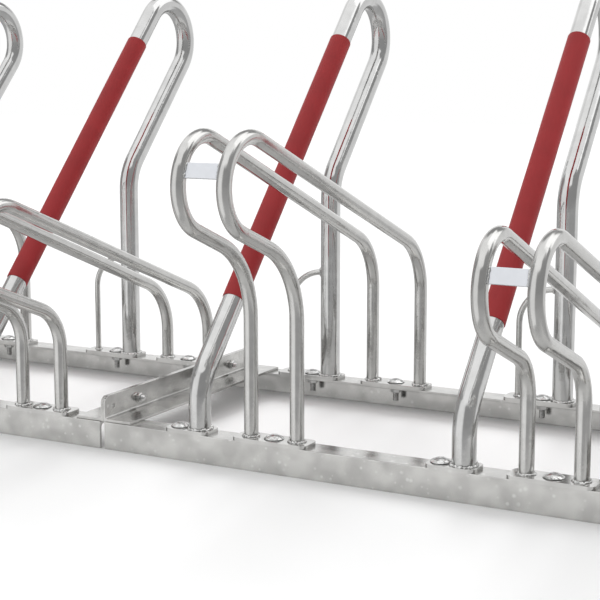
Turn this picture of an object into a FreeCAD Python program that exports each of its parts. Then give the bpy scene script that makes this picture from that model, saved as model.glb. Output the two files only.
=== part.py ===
import FreeCAD, Part
import math
import os
from FreeCAD import Rotation, Vector

# Floor bike rack: two coupled modules of a row stand with high and low places, hot-dip galvanised.
# Each place has a pair of bent tube hoops that hold a front wheel, a tyre stop between their noses,
# a slanted lean-on hoop with a soft sleeve, and a round locking eye beside it. The feet of the hoops
# are welded to flat plates, and each plate is held by one cup-head bolt to a rail of the floor frame.
#
# All sizes are millimetres. X runs along the rails, Y from the noses to the back, Z up.
# While the pieces are drawn, X = 0 is the joint of the two modules, Y = 0 the outer face of the
# front rail and Z = 0 the ground. The finished rack is then moved to the middle of its base.

# ---- the row ----
PLACE_PITCH = 500.0         # from one place to the next
PLACES_PER_MODULE = 2       # one high and one low place
MODULE_COUNT = 2
LEFT_PLATE_GAP = 21.0       # between a module's left cross angle and its first plate
RIGHT_PLATE_GAP = 22.5      # between its last plate and its right cross angle
LOW_DROP = 130.0            # how much lower the low wheel hoops stand

# ---- floor frame ----
BASE_DEPTH = 560.0          # over the outer faces of the front and back rails
RAIL_LEG = 50.0             # both legs of the rail's angle section
RAIL_WALL = 5.0
RAIL_ROOT_RADIUS = 7.0
RAIL_TOE_RADIUS = 2.0
CROSS_FLANGE = 60.0         # width of the cross angle's flange, which lies on the rails
CROSS_WEB = 46.0            # height of its upright web over the rails
CROSS_WALL = 5.0
CROSS_BEND_RADIUS = 4.0     # inside the fold
CROSS_SETBACK = 4.0         # its ends stand back from the rails' outer faces
CROSS_CORNER_RADIUS = 14.0  # upper corners of the web
COUPLING_SPACING = 340.0    # between the two bolts that join two modules
COUPLING_HOLE = 11.0
COUPLING_HEIGHT = 24.0      # bolt axes over the rails
TIE_HOLE = 9.0              # small hole near each end of the web
TIE_HOLE_INSET = 30.0       # from the rail's outer face

# ---- wheel hoops ----
HOOP_TUBE = 25.0            # outside diameter
FRONT_SPACING = 90.0        # between the axes of the two front legs
BACK_SPACING = 105.0        # between the axes of the two back legs
HIGH_TOP = 594.0            # top of a high hoop over the ground
NOSE_OVERHANG = 217.0       # how far the noses stand in front of the front rail
NOSE_RADIUS = 77.0          # bend radii are those of the tube's axis
FRONT_BEND_RADIUS = 150.0   # above the front leg of a high hoop
LOW_FRONT_BEND_RADIUS = 85.0
BACK_BEND_RADIUS = 120.0
HOOP_SLOPE = 21.3           # degrees from level, of the top run and of the run under the nose

# ---- tyre stop ----
STOP_HEIGHT = 25.0
STOP_THICKNESS = 5.0
STOP_TILT = 20.5            # degrees above the middle of the nose

# ---- lean-on hoop ----
LEAN_TUBE = 40.0
LEAN_OFFSET = 150.0         # to the left of the wheel holder's middle
LEAN_SLOPE = 47.5           # degrees from level
LEAN_SPACING = 160.0        # between the axes of its two slanted runs
LEAN_FRONT_CORNER = 140.0   # height at which the front leg's two axes cross
LEAN_TOP = 850.0
LEAN_BEND_RADIUS = 100.0
SLEEVE_WALL = 1.5
SLEEVE_START = 176.0        # along the slanted run, from the crossing of its axes
SLEEVE_LENGTH = 640.0
SLEEVE_CLEARANCE = 0.1

# ---- locking eye ----
EYE_ROD = 12.0
EYE_OFFSET = 90.0           # to the left of the lean-on hoop
EYE_TOP = 270.0             # height of its level part's axis
EYE_BEND_RADIUS = 70.0

# ---- foot plates ----
PLATE_THICKNESS = 8.0
PLATE_CORNER_RADIUS = 12.0
WHEEL_PLATE_LENGTH = 145.0
LEAN_PLATE_TAIL = 27.0      # past the lean-on tube's axis
BOLT_OFFSET = 40.0          # bolt of a lean-on plate, to the left of that axis
BOLT_MARGIN = 21.0          # plate left of the front bolt
EYE_MARGIN = 24.0           # plate left of the locking eye

# ---- fasteners ----
BOLT_SIZE = 12.0
BOLT_LENGTH = 40.0
BOLT_HEAD = 30.0
BOLT_HEAD_HEIGHT = 7.0
BOLT_HEAD_RIM = 1.2
DOME_BANDS = [0.5, 0.9]     # heights of the rings that stand for the round head, as shares of its dome
NECK_DEPTH = 6.0
NUT_WIDTH = 19.0            # across flats
NUT_HEIGHT = 10.0
BOLT_CLEARANCE = 0.6        # all round, in the plates and the rails
COUPLING_BOLT = 10.0
COUPLING_BOLT_LENGTH = 25.0
COUPLING_WIDTH = 17.0       # across flats of its head and nut
COUPLING_HEAD_HEIGHT = 6.4
COUPLING_NUT_HEIGHT = 8.0
THREAD_CLEARANCE = 0.05     # between a nut and its bolt

# ---- how finely round bars are drawn ----
TUBE_SIDE_COUNT = 10        # flats that stand for the round outside of a tube
ROD_SIDE_COUNT = 8
BEND_STEP = 22.5            # degrees of a bend per ring
CORNER_STEP_COUNT = 3       # flats that stand for a plate's rounded corner

# ---- sizes that follow from the ones above ----
PLACE_COUNT = PLACES_PER_MODULE * MODULE_COUNT
FIRST_PLACE_INSET = CROSS_FLANGE + LEFT_PLATE_GAP + EYE_MARGIN + EYE_OFFSET + LEAN_OFFSET
LAST_PLACE_INSET = WHEEL_PLATE_LENGTH / 2 + RIGHT_PLATE_GAP + CROSS_FLANGE
MODULE_LENGTH = FIRST_PLACE_INSET + PLACE_PITCH * (PLACES_PER_MODULE - 1) + LAST_PLACE_INSET
ROW_LENGTH = MODULE_LENGTH * MODULE_COUNT
FRONT_LEG_Y = RAIL_LEG / 2
BACK_LEG_Y = BASE_DEPTH - RAIL_LEG / 2
FOOT_Z = RAIL_LEG + PLATE_THICKNESS
NOSE_Z = HIGH_TOP - HOOP_TUBE / 2 - NOSE_RADIUS
NOSE_Y = NOSE_RADIUS + HOOP_TUBE / 2 - NOSE_OVERHANG
COUPLING_YS = [BASE_DEPTH / 2 - COUPLING_SPACING / 2, BASE_DEPTH / 2 + COUPLING_SPACING / 2]
TIE_YS = [TIE_HOLE_INSET, BASE_DEPTH - TIE_HOLE_INSET]
COUPLING_Z = RAIL_LEG + COUPLING_HEIGHT

ALONG = Vector(1, 0, 0)
BACKWARD = Vector(0, 1, 0)
UP = Vector(0, 0, 1)

parts = {}


# ---- drawing tools ----
def corner_radius(diameter, flats):
    """Radius to the corners of the regular polygon that has the area of the round section."""
    return diameter / 2 * math.sqrt(2 * math.pi / flats / math.sin(2 * math.pi / flats))


def section(centre, heading, side, diameter, flats):
    """Outline of a bar, square to its heading, with one flat facing the side direction."""
    radius = corner_radius(diameter, flats)
    other = heading.cross(side)
    corners = []
    for k in range(flats):
        angle = 2 * math.pi * (k + 0.5) / flats
        corners.append(centre + side * (radius * math.cos(angle)) + other * (radius * math.sin(angle)))
    return Part.makePolygon(corners + corners[:1])


def rings_along(points, radii):
    """Places and headings of the rings of a bar that runs through the points with round bends."""
    rings = [(points[0], (points[1] - points[0]).normalize())]
    for before, corner, after, radius in zip(points, points[1:], points[2:], radii):
        incoming = (corner - before).normalize()
        outgoing = (after - corner).normalize()
        turn = math.degrees(incoming.getAngle(outgoing))
        start = corner - incoming * (radius * math.tan(math.radians(turn / 2)))
        inward = (outgoing - incoming).normalize()
        centre = corner + inward * (radius / math.cos(math.radians(turn / 2)))
        axis = incoming.cross(outgoing).normalize()
        steps = math.ceil(turn / BEND_STEP)
        for k in range(steps + 1):
            rotation = Rotation(axis, turn * k / steps)
            place = centre + rotation.multVec(start - centre)
            if place.distanceToPoint(rings[-1][0]) > 1e-6:
                rings.append((place, rotation.multVec(incoming)))
    rings.append((points[-1], (points[-1] - points[-2]).normalize()))
    return rings


def bent_bar(points, radii, diameter, side, flats=TUBE_SIDE_COUNT):
    """A bent round bar or closed-ended tube through the points, one radius for each inner point."""
    rings = rings_along(points, radii)
    outlines = [section(place, heading, side, diameter, flats) for place, heading in rings]
    return Part.makeLoft(outlines, True, True)


def straight_bar(start, end, side, diameter, flats=TUBE_SIDE_COUNT):
    """A straight round bar."""
    return bent_bar([start, end], [], diameter, side, flats)


def sloped(angle):
    """Direction that runs backward and up at an angle from level."""
    return Vector(0, math.cos(math.radians(angle)), math.sin(math.radians(angle)))


def crossing(point, heading, y):
    """Point at depth y on the line through a point."""
    return point + heading * ((y - point.y) / heading.y)


def rounded_sheet(corner, across, along, width, length, radii):
    """Flat face from a corner, with rounded corners: a radius for each, counted round from that corner."""
    turns = [(corner, -1, -1), (corner + across * width, 1, -1),
             (corner + across * width + along * length, 1, 1), (corner + along * length, -1, 1)]
    points = []
    for number, ((tip, side, end), radius) in enumerate(zip(turns, radii)):
        centre = tip - across * (side * radius) - along * (end * radius)
        steps = CORNER_STEP_COUNT if radius else 0
        for k in range(steps + 1):
            angle = math.pi + math.pi / 2 * (number + (k / steps if steps else 0))
            points.append(centre + across * (radius * math.cos(angle)) + along * (radius * math.sin(angle)))
    return Part.Face(Part.makePolygon(points + points[:1]))


def upright_hole(x, y, z_top, depth, width):
    """Square hole for a bolt's neck, sunk from z_top."""
    return Part.makeBox(width, width, depth, Vector(x - width / 2, y - width / 2, z_top - depth))


# ---- places in the row ----
def module_start(module):
    """X of a module's left end."""
    return MODULE_LENGTH * module - ROW_LENGTH / 2


def place_centre(place):
    """X of the middle of a place's wheel holder."""
    module, step = divmod(place, PLACES_PER_MODULE)
    return module_start(module) + FIRST_PLACE_INSET + PLACE_PITCH * step


def place_drop(place):
    """High and low places take turns along the row."""
    return LOW_DROP if place % 2 else 0.0


def bolt_places():
    """(x, y) of every bolt that holds a foot plate to a rail."""
    spots = []
    for place in range(PLACE_COUNT):
        centre = place_centre(place)
        for y in (FRONT_LEG_Y, BACK_LEG_Y):
            spots.append((centre - LEAN_OFFSET - BOLT_OFFSET, y))
            spots.append((centre, y))
    return spots


# ---- floor frame ----
def rail(module, back):
    """Angle section rail, its upright leg outside and its level leg pointing into the frame."""
    length = MODULE_LENGTH - 2 * CROSS_WALL
    start = module_start(module) + CROSS_WALL
    corners = [(0, 0), (RAIL_WALL, 0), (RAIL_WALL, RAIL_LEG - RAIL_WALL), (RAIL_LEG, RAIL_LEG - RAIL_WALL),
               (RAIL_LEG, RAIL_LEG), (0, RAIL_LEG)]
    outline = Part.makePolygon([Vector(start, y, z) for y, z in corners + corners[:1]])
    bar = Part.Face(outline).extrude(ALONG * length)

    def edges_at(y, z):
        return [edge for edge in bar.Edges if edge.Length > length / 2
                and abs(edge.CenterOfMass.y - y) < 1e-6 and abs(edge.CenterOfMass.z - z) < 1e-6]

    bar = bar.makeFillet(RAIL_ROOT_RADIUS, edges_at(RAIL_WALL, RAIL_LEG - RAIL_WALL))
    toes = edges_at(RAIL_WALL, 0) + edges_at(RAIL_LEG, RAIL_LEG - RAIL_WALL)
    bar = bar.makeFillet(RAIL_TOE_RADIUS, toes)
    if back:
        bar = bar.mirror(Vector(0, BASE_DEPTH / 2, 0), BACKWARD)
    hole_width = BOLT_SIZE + 2 * BOLT_CLEARANCE
    for x, y in bolt_places():
        if (y > BASE_DEPTH / 2) == back and start < x < start + length:
            top = Vector(x, y, RAIL_LEG + 1)
            bar = bar.cut(straight_bar(top, top - UP * (RAIL_WALL + 2), ALONG, hole_width, ROD_SIDE_COUNT))
    return bar


def cross_angle(module, right):
    """Folded angle across a module's end: a flange on the rails and an upright web at the outside."""
    outer = module_start(module + 1) if right else module_start(module)
    inward = ALONG * (-1 if right else 1)
    length = BASE_DEPTH - 2 * CROSS_SETBACK
    corner = Vector(outer, CROSS_SETBACK, RAIL_LEG)
    radii = [0, 0, CROSS_CORNER_RADIUS, CROSS_CORNER_RADIUS]
    web = rounded_sheet(corner, BACKWARD, UP, length, CROSS_WEB, radii)
    web = web.extrude(inward * CROSS_WALL)
    inside = CROSS_WALL + CROSS_BEND_RADIUS
    profile = [corner, corner + inward * CROSS_FLANGE, corner + inward * CROSS_FLANGE + UP * CROSS_WALL]
    for k in range(CORNER_STEP_COUNT + 1):
        angle = math.pi / 2 * k / CORNER_STEP_COUNT
        reach = inside - CROSS_BEND_RADIUS * math.sin(angle)
        rise = inside - CROSS_BEND_RADIUS * math.cos(angle)
        profile.append(corner + inward * reach + UP * rise)
    profile.append(corner + UP * inside)
    flange = Part.Face(Part.makePolygon(profile + profile[:1])).extrude(BACKWARD * length)
    angle_bar = web.fuse(flange).removeSplitter()
    for y in COUPLING_YS:
        start = Vector(outer, y, COUPLING_Z) - inward
        angle_bar = angle_bar.cut(Part.makeCylinder(COUPLING_HOLE / 2, CROSS_WALL + 2, start, inward))
    for y in TIE_YS:
        start = Vector(outer, y, COUPLING_Z) - inward
        angle_bar = angle_bar.cut(straight_bar(start, start + inward * (CROSS_WALL + 2), UP, TIE_HOLE))
    return angle_bar


# ---- wheel holder ----
def nose_centre(drop):
    """Middle of the nose bend, in a hoop's own plane."""
    return Vector(0, NOSE_Y, NOSE_Z - drop)


def wheel_hoop(centre, drop, side):
    """One bent tube: front leg, run up to the nose, nose, long top run down to the back leg."""
    spread = (BACK_SPACING - FRONT_SPACING) / 2
    depth = BACK_LEG_Y - FRONT_LEG_Y
    back_y = FRONT_LEG_Y + math.hypot(depth, spread)
    middle = nose_centre(drop)
    forward = sloped(-HOOP_SLOPE) * -1
    normal = sloped(90 - HOOP_SLOPE)
    under = middle - normal * NOSE_RADIUS
    over = middle + normal * NOSE_RADIUS
    points = [
        Vector(0, FRONT_LEG_Y, FOOT_Z),
        crossing(under, forward, FRONT_LEG_Y),
        under + forward * NOSE_RADIUS,
        over + forward * NOSE_RADIUS,
        crossing(over, forward, back_y),
        Vector(0, back_y, FOOT_Z),
    ]
    front_radius = LOW_FRONT_BEND_RADIUS if drop else FRONT_BEND_RADIUS
    hoop = bent_bar(points, [front_radius, NOSE_RADIUS, NOSE_RADIUS, BACK_BEND_RADIUS], HOOP_TUBE, ALONG)
    splay = math.degrees(math.atan2(spread, depth))
    hoop.rotate(Vector(0, FRONT_LEG_Y, 0), UP, -side * splay)
    hoop.translate(ALONG * (centre + side * FRONT_SPACING / 2))
    return hoop


def tyre_stop(centre, drop, hoops):
    """Flat bar welded between the two noses, square to the nose's radius."""
    outward = sloped(-STOP_TILT) * -1
    upward = sloped(90 - STOP_TILT)
    middle = nose_centre(drop) + outward * NOSE_RADIUS + ALONG * centre
    half_height = upward * (STOP_HEIGHT / 2)
    half_thickness = outward * (STOP_THICKNESS / 2)
    left = middle - ALONG * (FRONT_SPACING / 2)
    corners = [left + half_height + half_thickness, left + half_height - half_thickness,
               left - half_height - half_thickness, left - half_height + half_thickness]
    bar = Part.Face(Part.makePolygon(corners + corners[:1])).extrude(ALONG * FRONT_SPACING)
    for hoop in hoops:
        bar = bar.cut(hoop)
    return max(bar.Solids, key=lambda solid: solid.Volume)


def foot_plate(x_min, x_max, back, bolt_x):
    """Plate that lies on a rail's level leg, as wide as that leg, with a square hole for its bolt."""
    y_min = BASE_DEPTH - RAIL_LEG if back else 0.0
    corner = Vector(x_min, y_min, RAIL_LEG)
    radii = [PLATE_CORNER_RADIUS] * 4
    sheet = rounded_sheet(corner, ALONG, BACKWARD, x_max - x_min, RAIL_LEG, radii)
    plate = sheet.extrude(UP * PLATE_THICKNESS)
    width = BOLT_SIZE + 2 * BOLT_CLEARANCE
    bolt_y = BACK_LEG_Y if back else FRONT_LEG_Y
    return plate.cut(upright_hole(bolt_x, bolt_y, FOOT_Z + 1, PLATE_THICKNESS + 2, width))


# ---- lean-on hoop ----
def lean_runs(x):
    """Heading of the slanted runs, the corner of each leg, and the middle of the top bend."""
    heading = sloped(LEAN_SLOPE)
    normal = sloped(LEAN_SLOPE + 90)
    front_corner = Vector(x, FRONT_LEG_Y, LEAN_FRONT_CORNER)
    back_corner = crossing(front_corner - normal * LEAN_SPACING, heading, BACK_LEG_Y)
    between = front_corner - normal * (LEAN_SPACING / 2)
    top_z = LEAN_TOP - LEAN_TUBE / 2 - LEAN_SPACING / 2
    top = between + heading * ((top_z - between.z) / heading.z)
    return heading, normal, front_corner, back_corner, top


def lean_hoop(x):
    """The large tube: two upright legs that slant backward and meet in a round top."""
    heading, normal, front_corner, back_corner, top = lean_runs(x)
    radius = LEAN_SPACING / 2
    points = [
        Vector(x, FRONT_LEG_Y, FOOT_Z),
        front_corner,
        top + (normal + heading) * radius,
        top - (normal - heading) * radius,
        back_corner,
        Vector(x, BACK_LEG_Y, FOOT_Z),
    ]
    radii = [LEAN_BEND_RADIUS, radius, radius, LEAN_BEND_RADIUS]
    return bent_bar(points, radii, LEAN_TUBE, ALONG)


def lean_sleeve(x):
    """Thin soft sleeve around the front slanted run."""
    heading, _, front_corner, _, _ = lean_runs(x)
    start = front_corner + heading * SLEEVE_START
    end = start + heading * SLEEVE_LENGTH
    bore = LEAN_TUBE + 2 * SLEEVE_CLEARANCE
    outside = straight_bar(start, end, ALONG, bore + 2 * SLEEVE_WALL)
    inside = straight_bar(start - heading, end + heading, ALONG, bore)
    return outside.cut(inside)


def locking_eye(x, leg):
    """Thin rod that rises from the back plate and bends over into the back leg."""
    foot = Vector(x - EYE_OFFSET, BACK_LEG_Y, FOOT_Z)
    corner = Vector(x - EYE_OFFSET, BACK_LEG_Y, EYE_TOP)
    points = [foot, corner, Vector(x, BACK_LEG_Y, EYE_TOP)]
    rod = bent_bar(points, [EYE_BEND_RADIUS], EYE_ROD, BACKWARD, ROD_SIDE_COUNT)
    return max(rod.cut(leg).Solids, key=lambda solid: solid.Volume)


# ---- fasteners ----
def cup_bolt(x, y):
    """Cup-head bolt: domed head on the plate, square neck in it, shank down through the rail."""
    seat = Vector(x, y, FOOT_Z)
    rise = BOLT_HEAD_HEIGHT - BOLT_HEAD_RIM
    sphere = (rise ** 2 + (BOLT_HEAD / 2) ** 2) / (2 * rise)
    heights = [0, BOLT_HEAD_RIM] + [BOLT_HEAD_RIM + rise * share for share in DOME_BANDS]
    outlines = []
    for height in heights:
        below_top = BOLT_HEAD_HEIGHT - max(height, BOLT_HEAD_RIM)
        width = 2 * math.sqrt(sphere ** 2 - (sphere - below_top) ** 2)
        outlines.append(section(seat + UP * height, UP, ALONG, width, ROD_SIDE_COUNT))
    head = Part.makeLoft(outlines, True, True)
    neck_corner = seat - Vector(BOLT_SIZE / 2, BOLT_SIZE / 2, NECK_DEPTH)
    neck = Part.makeBox(BOLT_SIZE, BOLT_SIZE, NECK_DEPTH, neck_corner)
    shank = straight_bar(seat - UP * NECK_DEPTH, seat - UP * BOLT_LENGTH, ALONG, BOLT_SIZE, ROD_SIDE_COUNT)
    return head.fuse([neck, shank]).removeSplitter()


def hex_prism(centre, axis, side, width, height):
    """Hexagon prism of a width across flats."""
    corners = []
    other = axis.cross(side)
    for k in range(6):
        angle = math.pi / 3 * (k + 0.5)
        radius = width / 2 / math.cos(math.pi / 6)
        corners.append(centre + side * (radius * math.cos(angle)) + other * (radius * math.sin(angle)))
    return Part.Face(Part.makePolygon(corners + corners[:1])).extrude(axis * height)


def rail_nut(x, y):
    """Nut under the rail's level leg."""
    top = Vector(x, y, RAIL_LEG - RAIL_WALL)
    nut = hex_prism(top, UP * -1, ALONG, NUT_WIDTH, NUT_HEIGHT)
    hole = BOLT_SIZE + 2 * THREAD_CLEARANCE
    return nut.cut(straight_bar(top + UP, top - UP * (NUT_HEIGHT + 1), ALONG, hole, ROD_SIDE_COUNT))


def coupling_places():
    """(x, y) of every bolt that joins two modules."""
    return [(module_start(module), y) for module in range(1, MODULE_COUNT) for y in COUPLING_YS]


def coupling_bolt(x, y):
    """Hexagon bolt through the two webs at a joint, head on the left."""
    seat = Vector(x - CROSS_WALL, y, COUPLING_Z)
    head = hex_prism(seat, ALONG * -1, BACKWARD, COUPLING_WIDTH, COUPLING_HEAD_HEIGHT)
    shank = straight_bar(seat - ALONG, seat + ALONG * COUPLING_BOLT_LENGTH, BACKWARD, COUPLING_BOLT)
    return head.fuse(shank).removeSplitter()


def coupling_nut(x, y):
    """Its nut on the right."""
    seat = Vector(x + CROSS_WALL, y, COUPLING_Z)
    nut = hex_prism(seat, ALONG, BACKWARD, COUPLING_WIDTH, COUPLING_NUT_HEIGHT)
    hole = COUPLING_BOLT + 2 * THREAD_CLEARANCE
    return nut.cut(straight_bar(seat - ALONG, seat + ALONG * (COUPLING_NUT_HEIGHT + 1), BACKWARD, hole))


# ---- assembly ----
def build_frame():
    """Rails and cross angles of each module."""
    for module in range(MODULE_COUNT):
        number = module + 1
        parts[f"front_rail_{number}"] = rail(module, back=False)
        parts[f"back_rail_{number}"] = rail(module, back=True)
        parts[f"left_cross_angle_{number}"] = cross_angle(module, right=False)
        parts[f"right_cross_angle_{number}"] = cross_angle(module, right=True)


def build_wheel_holder(place):
    """Two hoops, their plates and the tyre stop."""
    number = place + 1
    centre = place_centre(place)
    drop = place_drop(place)
    left = wheel_hoop(centre, drop, -1)
    right = wheel_hoop(centre, drop, 1)
    parts[f"left_wheel_hoop_{number}"] = left
    parts[f"right_wheel_hoop_{number}"] = right
    parts[f"tyre_stop_{number}"] = tyre_stop(centre, drop, [left, right])
    half = WHEEL_PLATE_LENGTH / 2
    parts[f"front_wheel_plate_{number}"] = foot_plate(centre - half, centre + half, False, centre)
    parts[f"back_wheel_plate_{number}"] = foot_plate(centre - half, centre + half, True, centre)


def build_lean_on(place):
    """Lean-on hoop with its sleeve, locking eye and plates."""
    number = place + 1
    x = place_centre(place) - LEAN_OFFSET
    hoop = lean_hoop(x)
    bolt_x = x - BOLT_OFFSET
    tail = x + LEAN_PLATE_TAIL
    parts[f"lean_hoop_{number}"] = hoop
    parts[f"lean_sleeve_{number}"] = lean_sleeve(x)
    parts[f"locking_eye_{number}"] = locking_eye(x, hoop)
    parts[f"front_lean_plate_{number}"] = foot_plate(bolt_x - BOLT_MARGIN, tail, False, bolt_x)
    parts[f"back_lean_plate_{number}"] = foot_plate(x - EYE_OFFSET - EYE_MARGIN, tail, True, bolt_x)


def build_fasteners():
    """Groups of identical fasteners, each group one node."""
    parts["cup_head_bolts"] = Part.makeCompound([cup_bolt(x, y) for x, y in bolt_places()])
    parts["rail_nuts"] = Part.makeCompound([rail_nut(x, y) for x, y in bolt_places()])
    parts["coupling_bolts"] = Part.makeCompound([coupling_bolt(x, y) for x, y in coupling_places()])
    parts["coupling_nuts"] = Part.makeCompound([coupling_nut(x, y) for x, y in coupling_places()])


def rack_offset():
    """Move that puts the middle of the rack's base at the origin."""
    box = FreeCAD.BoundBox()
    for shape in parts.values():
        box.add(shape.BoundBox)
    return Vector(-box.Center.x, -box.Center.y, -box.ZMin)


build_frame()
for place_number in range(PLACE_COUNT):
    build_wheel_holder(place_number)
    build_lean_on(place_number)
build_fasteners()

os.makedirs("parts", exist_ok=True)
offset = rack_offset()
for name, shape in parts.items():
    shape.translate(offset)
    shape.exportStep(f"parts/{name}.step")
print(f"{len(parts)} pieces written, moved by {offset.x:.3f}, {offset.y:.3f}, {offset.z:.3f}")
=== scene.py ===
"""Looks of a galvanised floor bike rack: two coupled row-stand modules with four places.

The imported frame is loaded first. Every visible piece is built over its node, in metres, with x along the
row, y backward and z up. Welds and bolt shanks are pieces of their own.
"""
import logging
import math
from dataclasses import dataclass, field
from enum import Enum
from typing import Any, Dict, Iterable, List, Sequence, Tuple

import bmesh
import bpy
from mathutils import Matrix, Vector, noise


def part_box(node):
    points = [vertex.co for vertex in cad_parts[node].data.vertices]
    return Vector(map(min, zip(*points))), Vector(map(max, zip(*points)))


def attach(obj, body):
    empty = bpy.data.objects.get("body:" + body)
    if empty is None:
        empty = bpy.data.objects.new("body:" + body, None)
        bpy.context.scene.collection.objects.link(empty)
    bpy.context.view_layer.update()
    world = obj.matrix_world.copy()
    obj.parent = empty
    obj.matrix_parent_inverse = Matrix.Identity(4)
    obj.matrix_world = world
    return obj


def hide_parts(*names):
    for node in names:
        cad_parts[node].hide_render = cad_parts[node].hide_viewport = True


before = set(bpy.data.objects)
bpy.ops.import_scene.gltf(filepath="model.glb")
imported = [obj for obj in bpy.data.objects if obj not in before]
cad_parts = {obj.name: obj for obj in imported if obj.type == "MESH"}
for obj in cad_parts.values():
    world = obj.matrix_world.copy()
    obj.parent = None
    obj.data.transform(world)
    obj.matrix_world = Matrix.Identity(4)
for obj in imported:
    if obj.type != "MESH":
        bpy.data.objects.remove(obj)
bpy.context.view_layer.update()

LOG = logging.getLogger("bike_rack")

Colour = Tuple[float, float, float]
Span = Tuple[float, float]
Spot = Tuple[float, float]
Ring = List[Vector]

ALONG = Vector((1.0, 0.0, 0.0))
BACKWARD = Vector((0.0, 1.0, 0.0))
UP = Vector((0.0, 0.0, 1.0))

FULL_TURN = 2 * math.pi
QUARTER_TURN = math.pi / 2

# Edges sharper than this, in degrees, stay sharp.
FLAT_EDGES = 32.0
PLATE_EDGES = 50.0
ROUND_EDGES = 60.0
HEAD_EDGES = 40.0
HEXAGON_EDGES = 30.0
NO_EDGES = 180.0

# Points closer than this, in metres, count as one.
SAME_PLACE = 1e-6


class Side(Enum):
    """The two hoops of a pair, by the direction in which they stand from its middle."""

    LEFT = -1
    RIGHT = 1


class Row(Enum):
    """The two rails that every plate, bolt and foot belongs to."""

    FRONT = "front"
    BACK = "back"


class Slot(Enum):
    """Material slots."""

    HOOP = "hoop_zinc"
    LEAN = "lean_zinc"
    RAIL = "rail_zinc"
    PLATE = "plate_zinc"
    STRIP = "bright_strip"
    FASTENER = "fastener_zinc"
    SLEEVE = "red_sleeve"


# ---------------------------------------------------------------- shader expressions
class Signal:
    """One output of a shader node, which takes part in sums like a number."""

    def __init__(self, tree: "ShaderTree", socket: bpy.types.NodeSocket) -> None:
        """Keep the tree and the socket.

        Args:
            tree: The tree that the socket belongs to.
            socket: The output that this signal stands for.
        """
        self.tree = tree
        self.socket = socket

    def _math(self, operation: str, first: Any, second: Any) -> "Signal":
        """Add one Math node.

        Args:
            operation: The node's operation.
            first: Signal or number for the first input.
            second: Signal or number for the second input.

        Returns:
            The node's output.
        """
        return self.tree.add("ShaderNodeMath", {"operation": operation}, {0: first, 1: second})

    def beside(self, output: str) -> "Signal":
        """Another output of the same node, by its name."""
        return Signal(self.tree, self.socket.node.outputs[output])

    def __add__(self, other: Any) -> "Signal":
        """Sum."""
        return self._math("ADD", self, other)

    def __radd__(self, other: Any) -> "Signal":
        """Sum, reflected."""
        return self._math("ADD", other, self)

    def __sub__(self, other: Any) -> "Signal":
        """Difference."""
        return self._math("SUBTRACT", self, other)

    def __rsub__(self, other: Any) -> "Signal":
        """Difference, reflected."""
        return self._math("SUBTRACT", other, self)

    def __mul__(self, other: Any) -> "Signal":
        """Product."""
        return self._math("MULTIPLY", self, other)

    def __rmul__(self, other: Any) -> "Signal":
        """Product, reflected."""
        return self._math("MULTIPLY", other, self)

    def __truediv__(self, other: Any) -> "Signal":
        """Quotient."""
        return self._math("DIVIDE", self, other)

    def __rtruediv__(self, other: Any) -> "Signal":
        """Quotient, reflected."""
        return self._math("DIVIDE", other, self)


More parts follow.
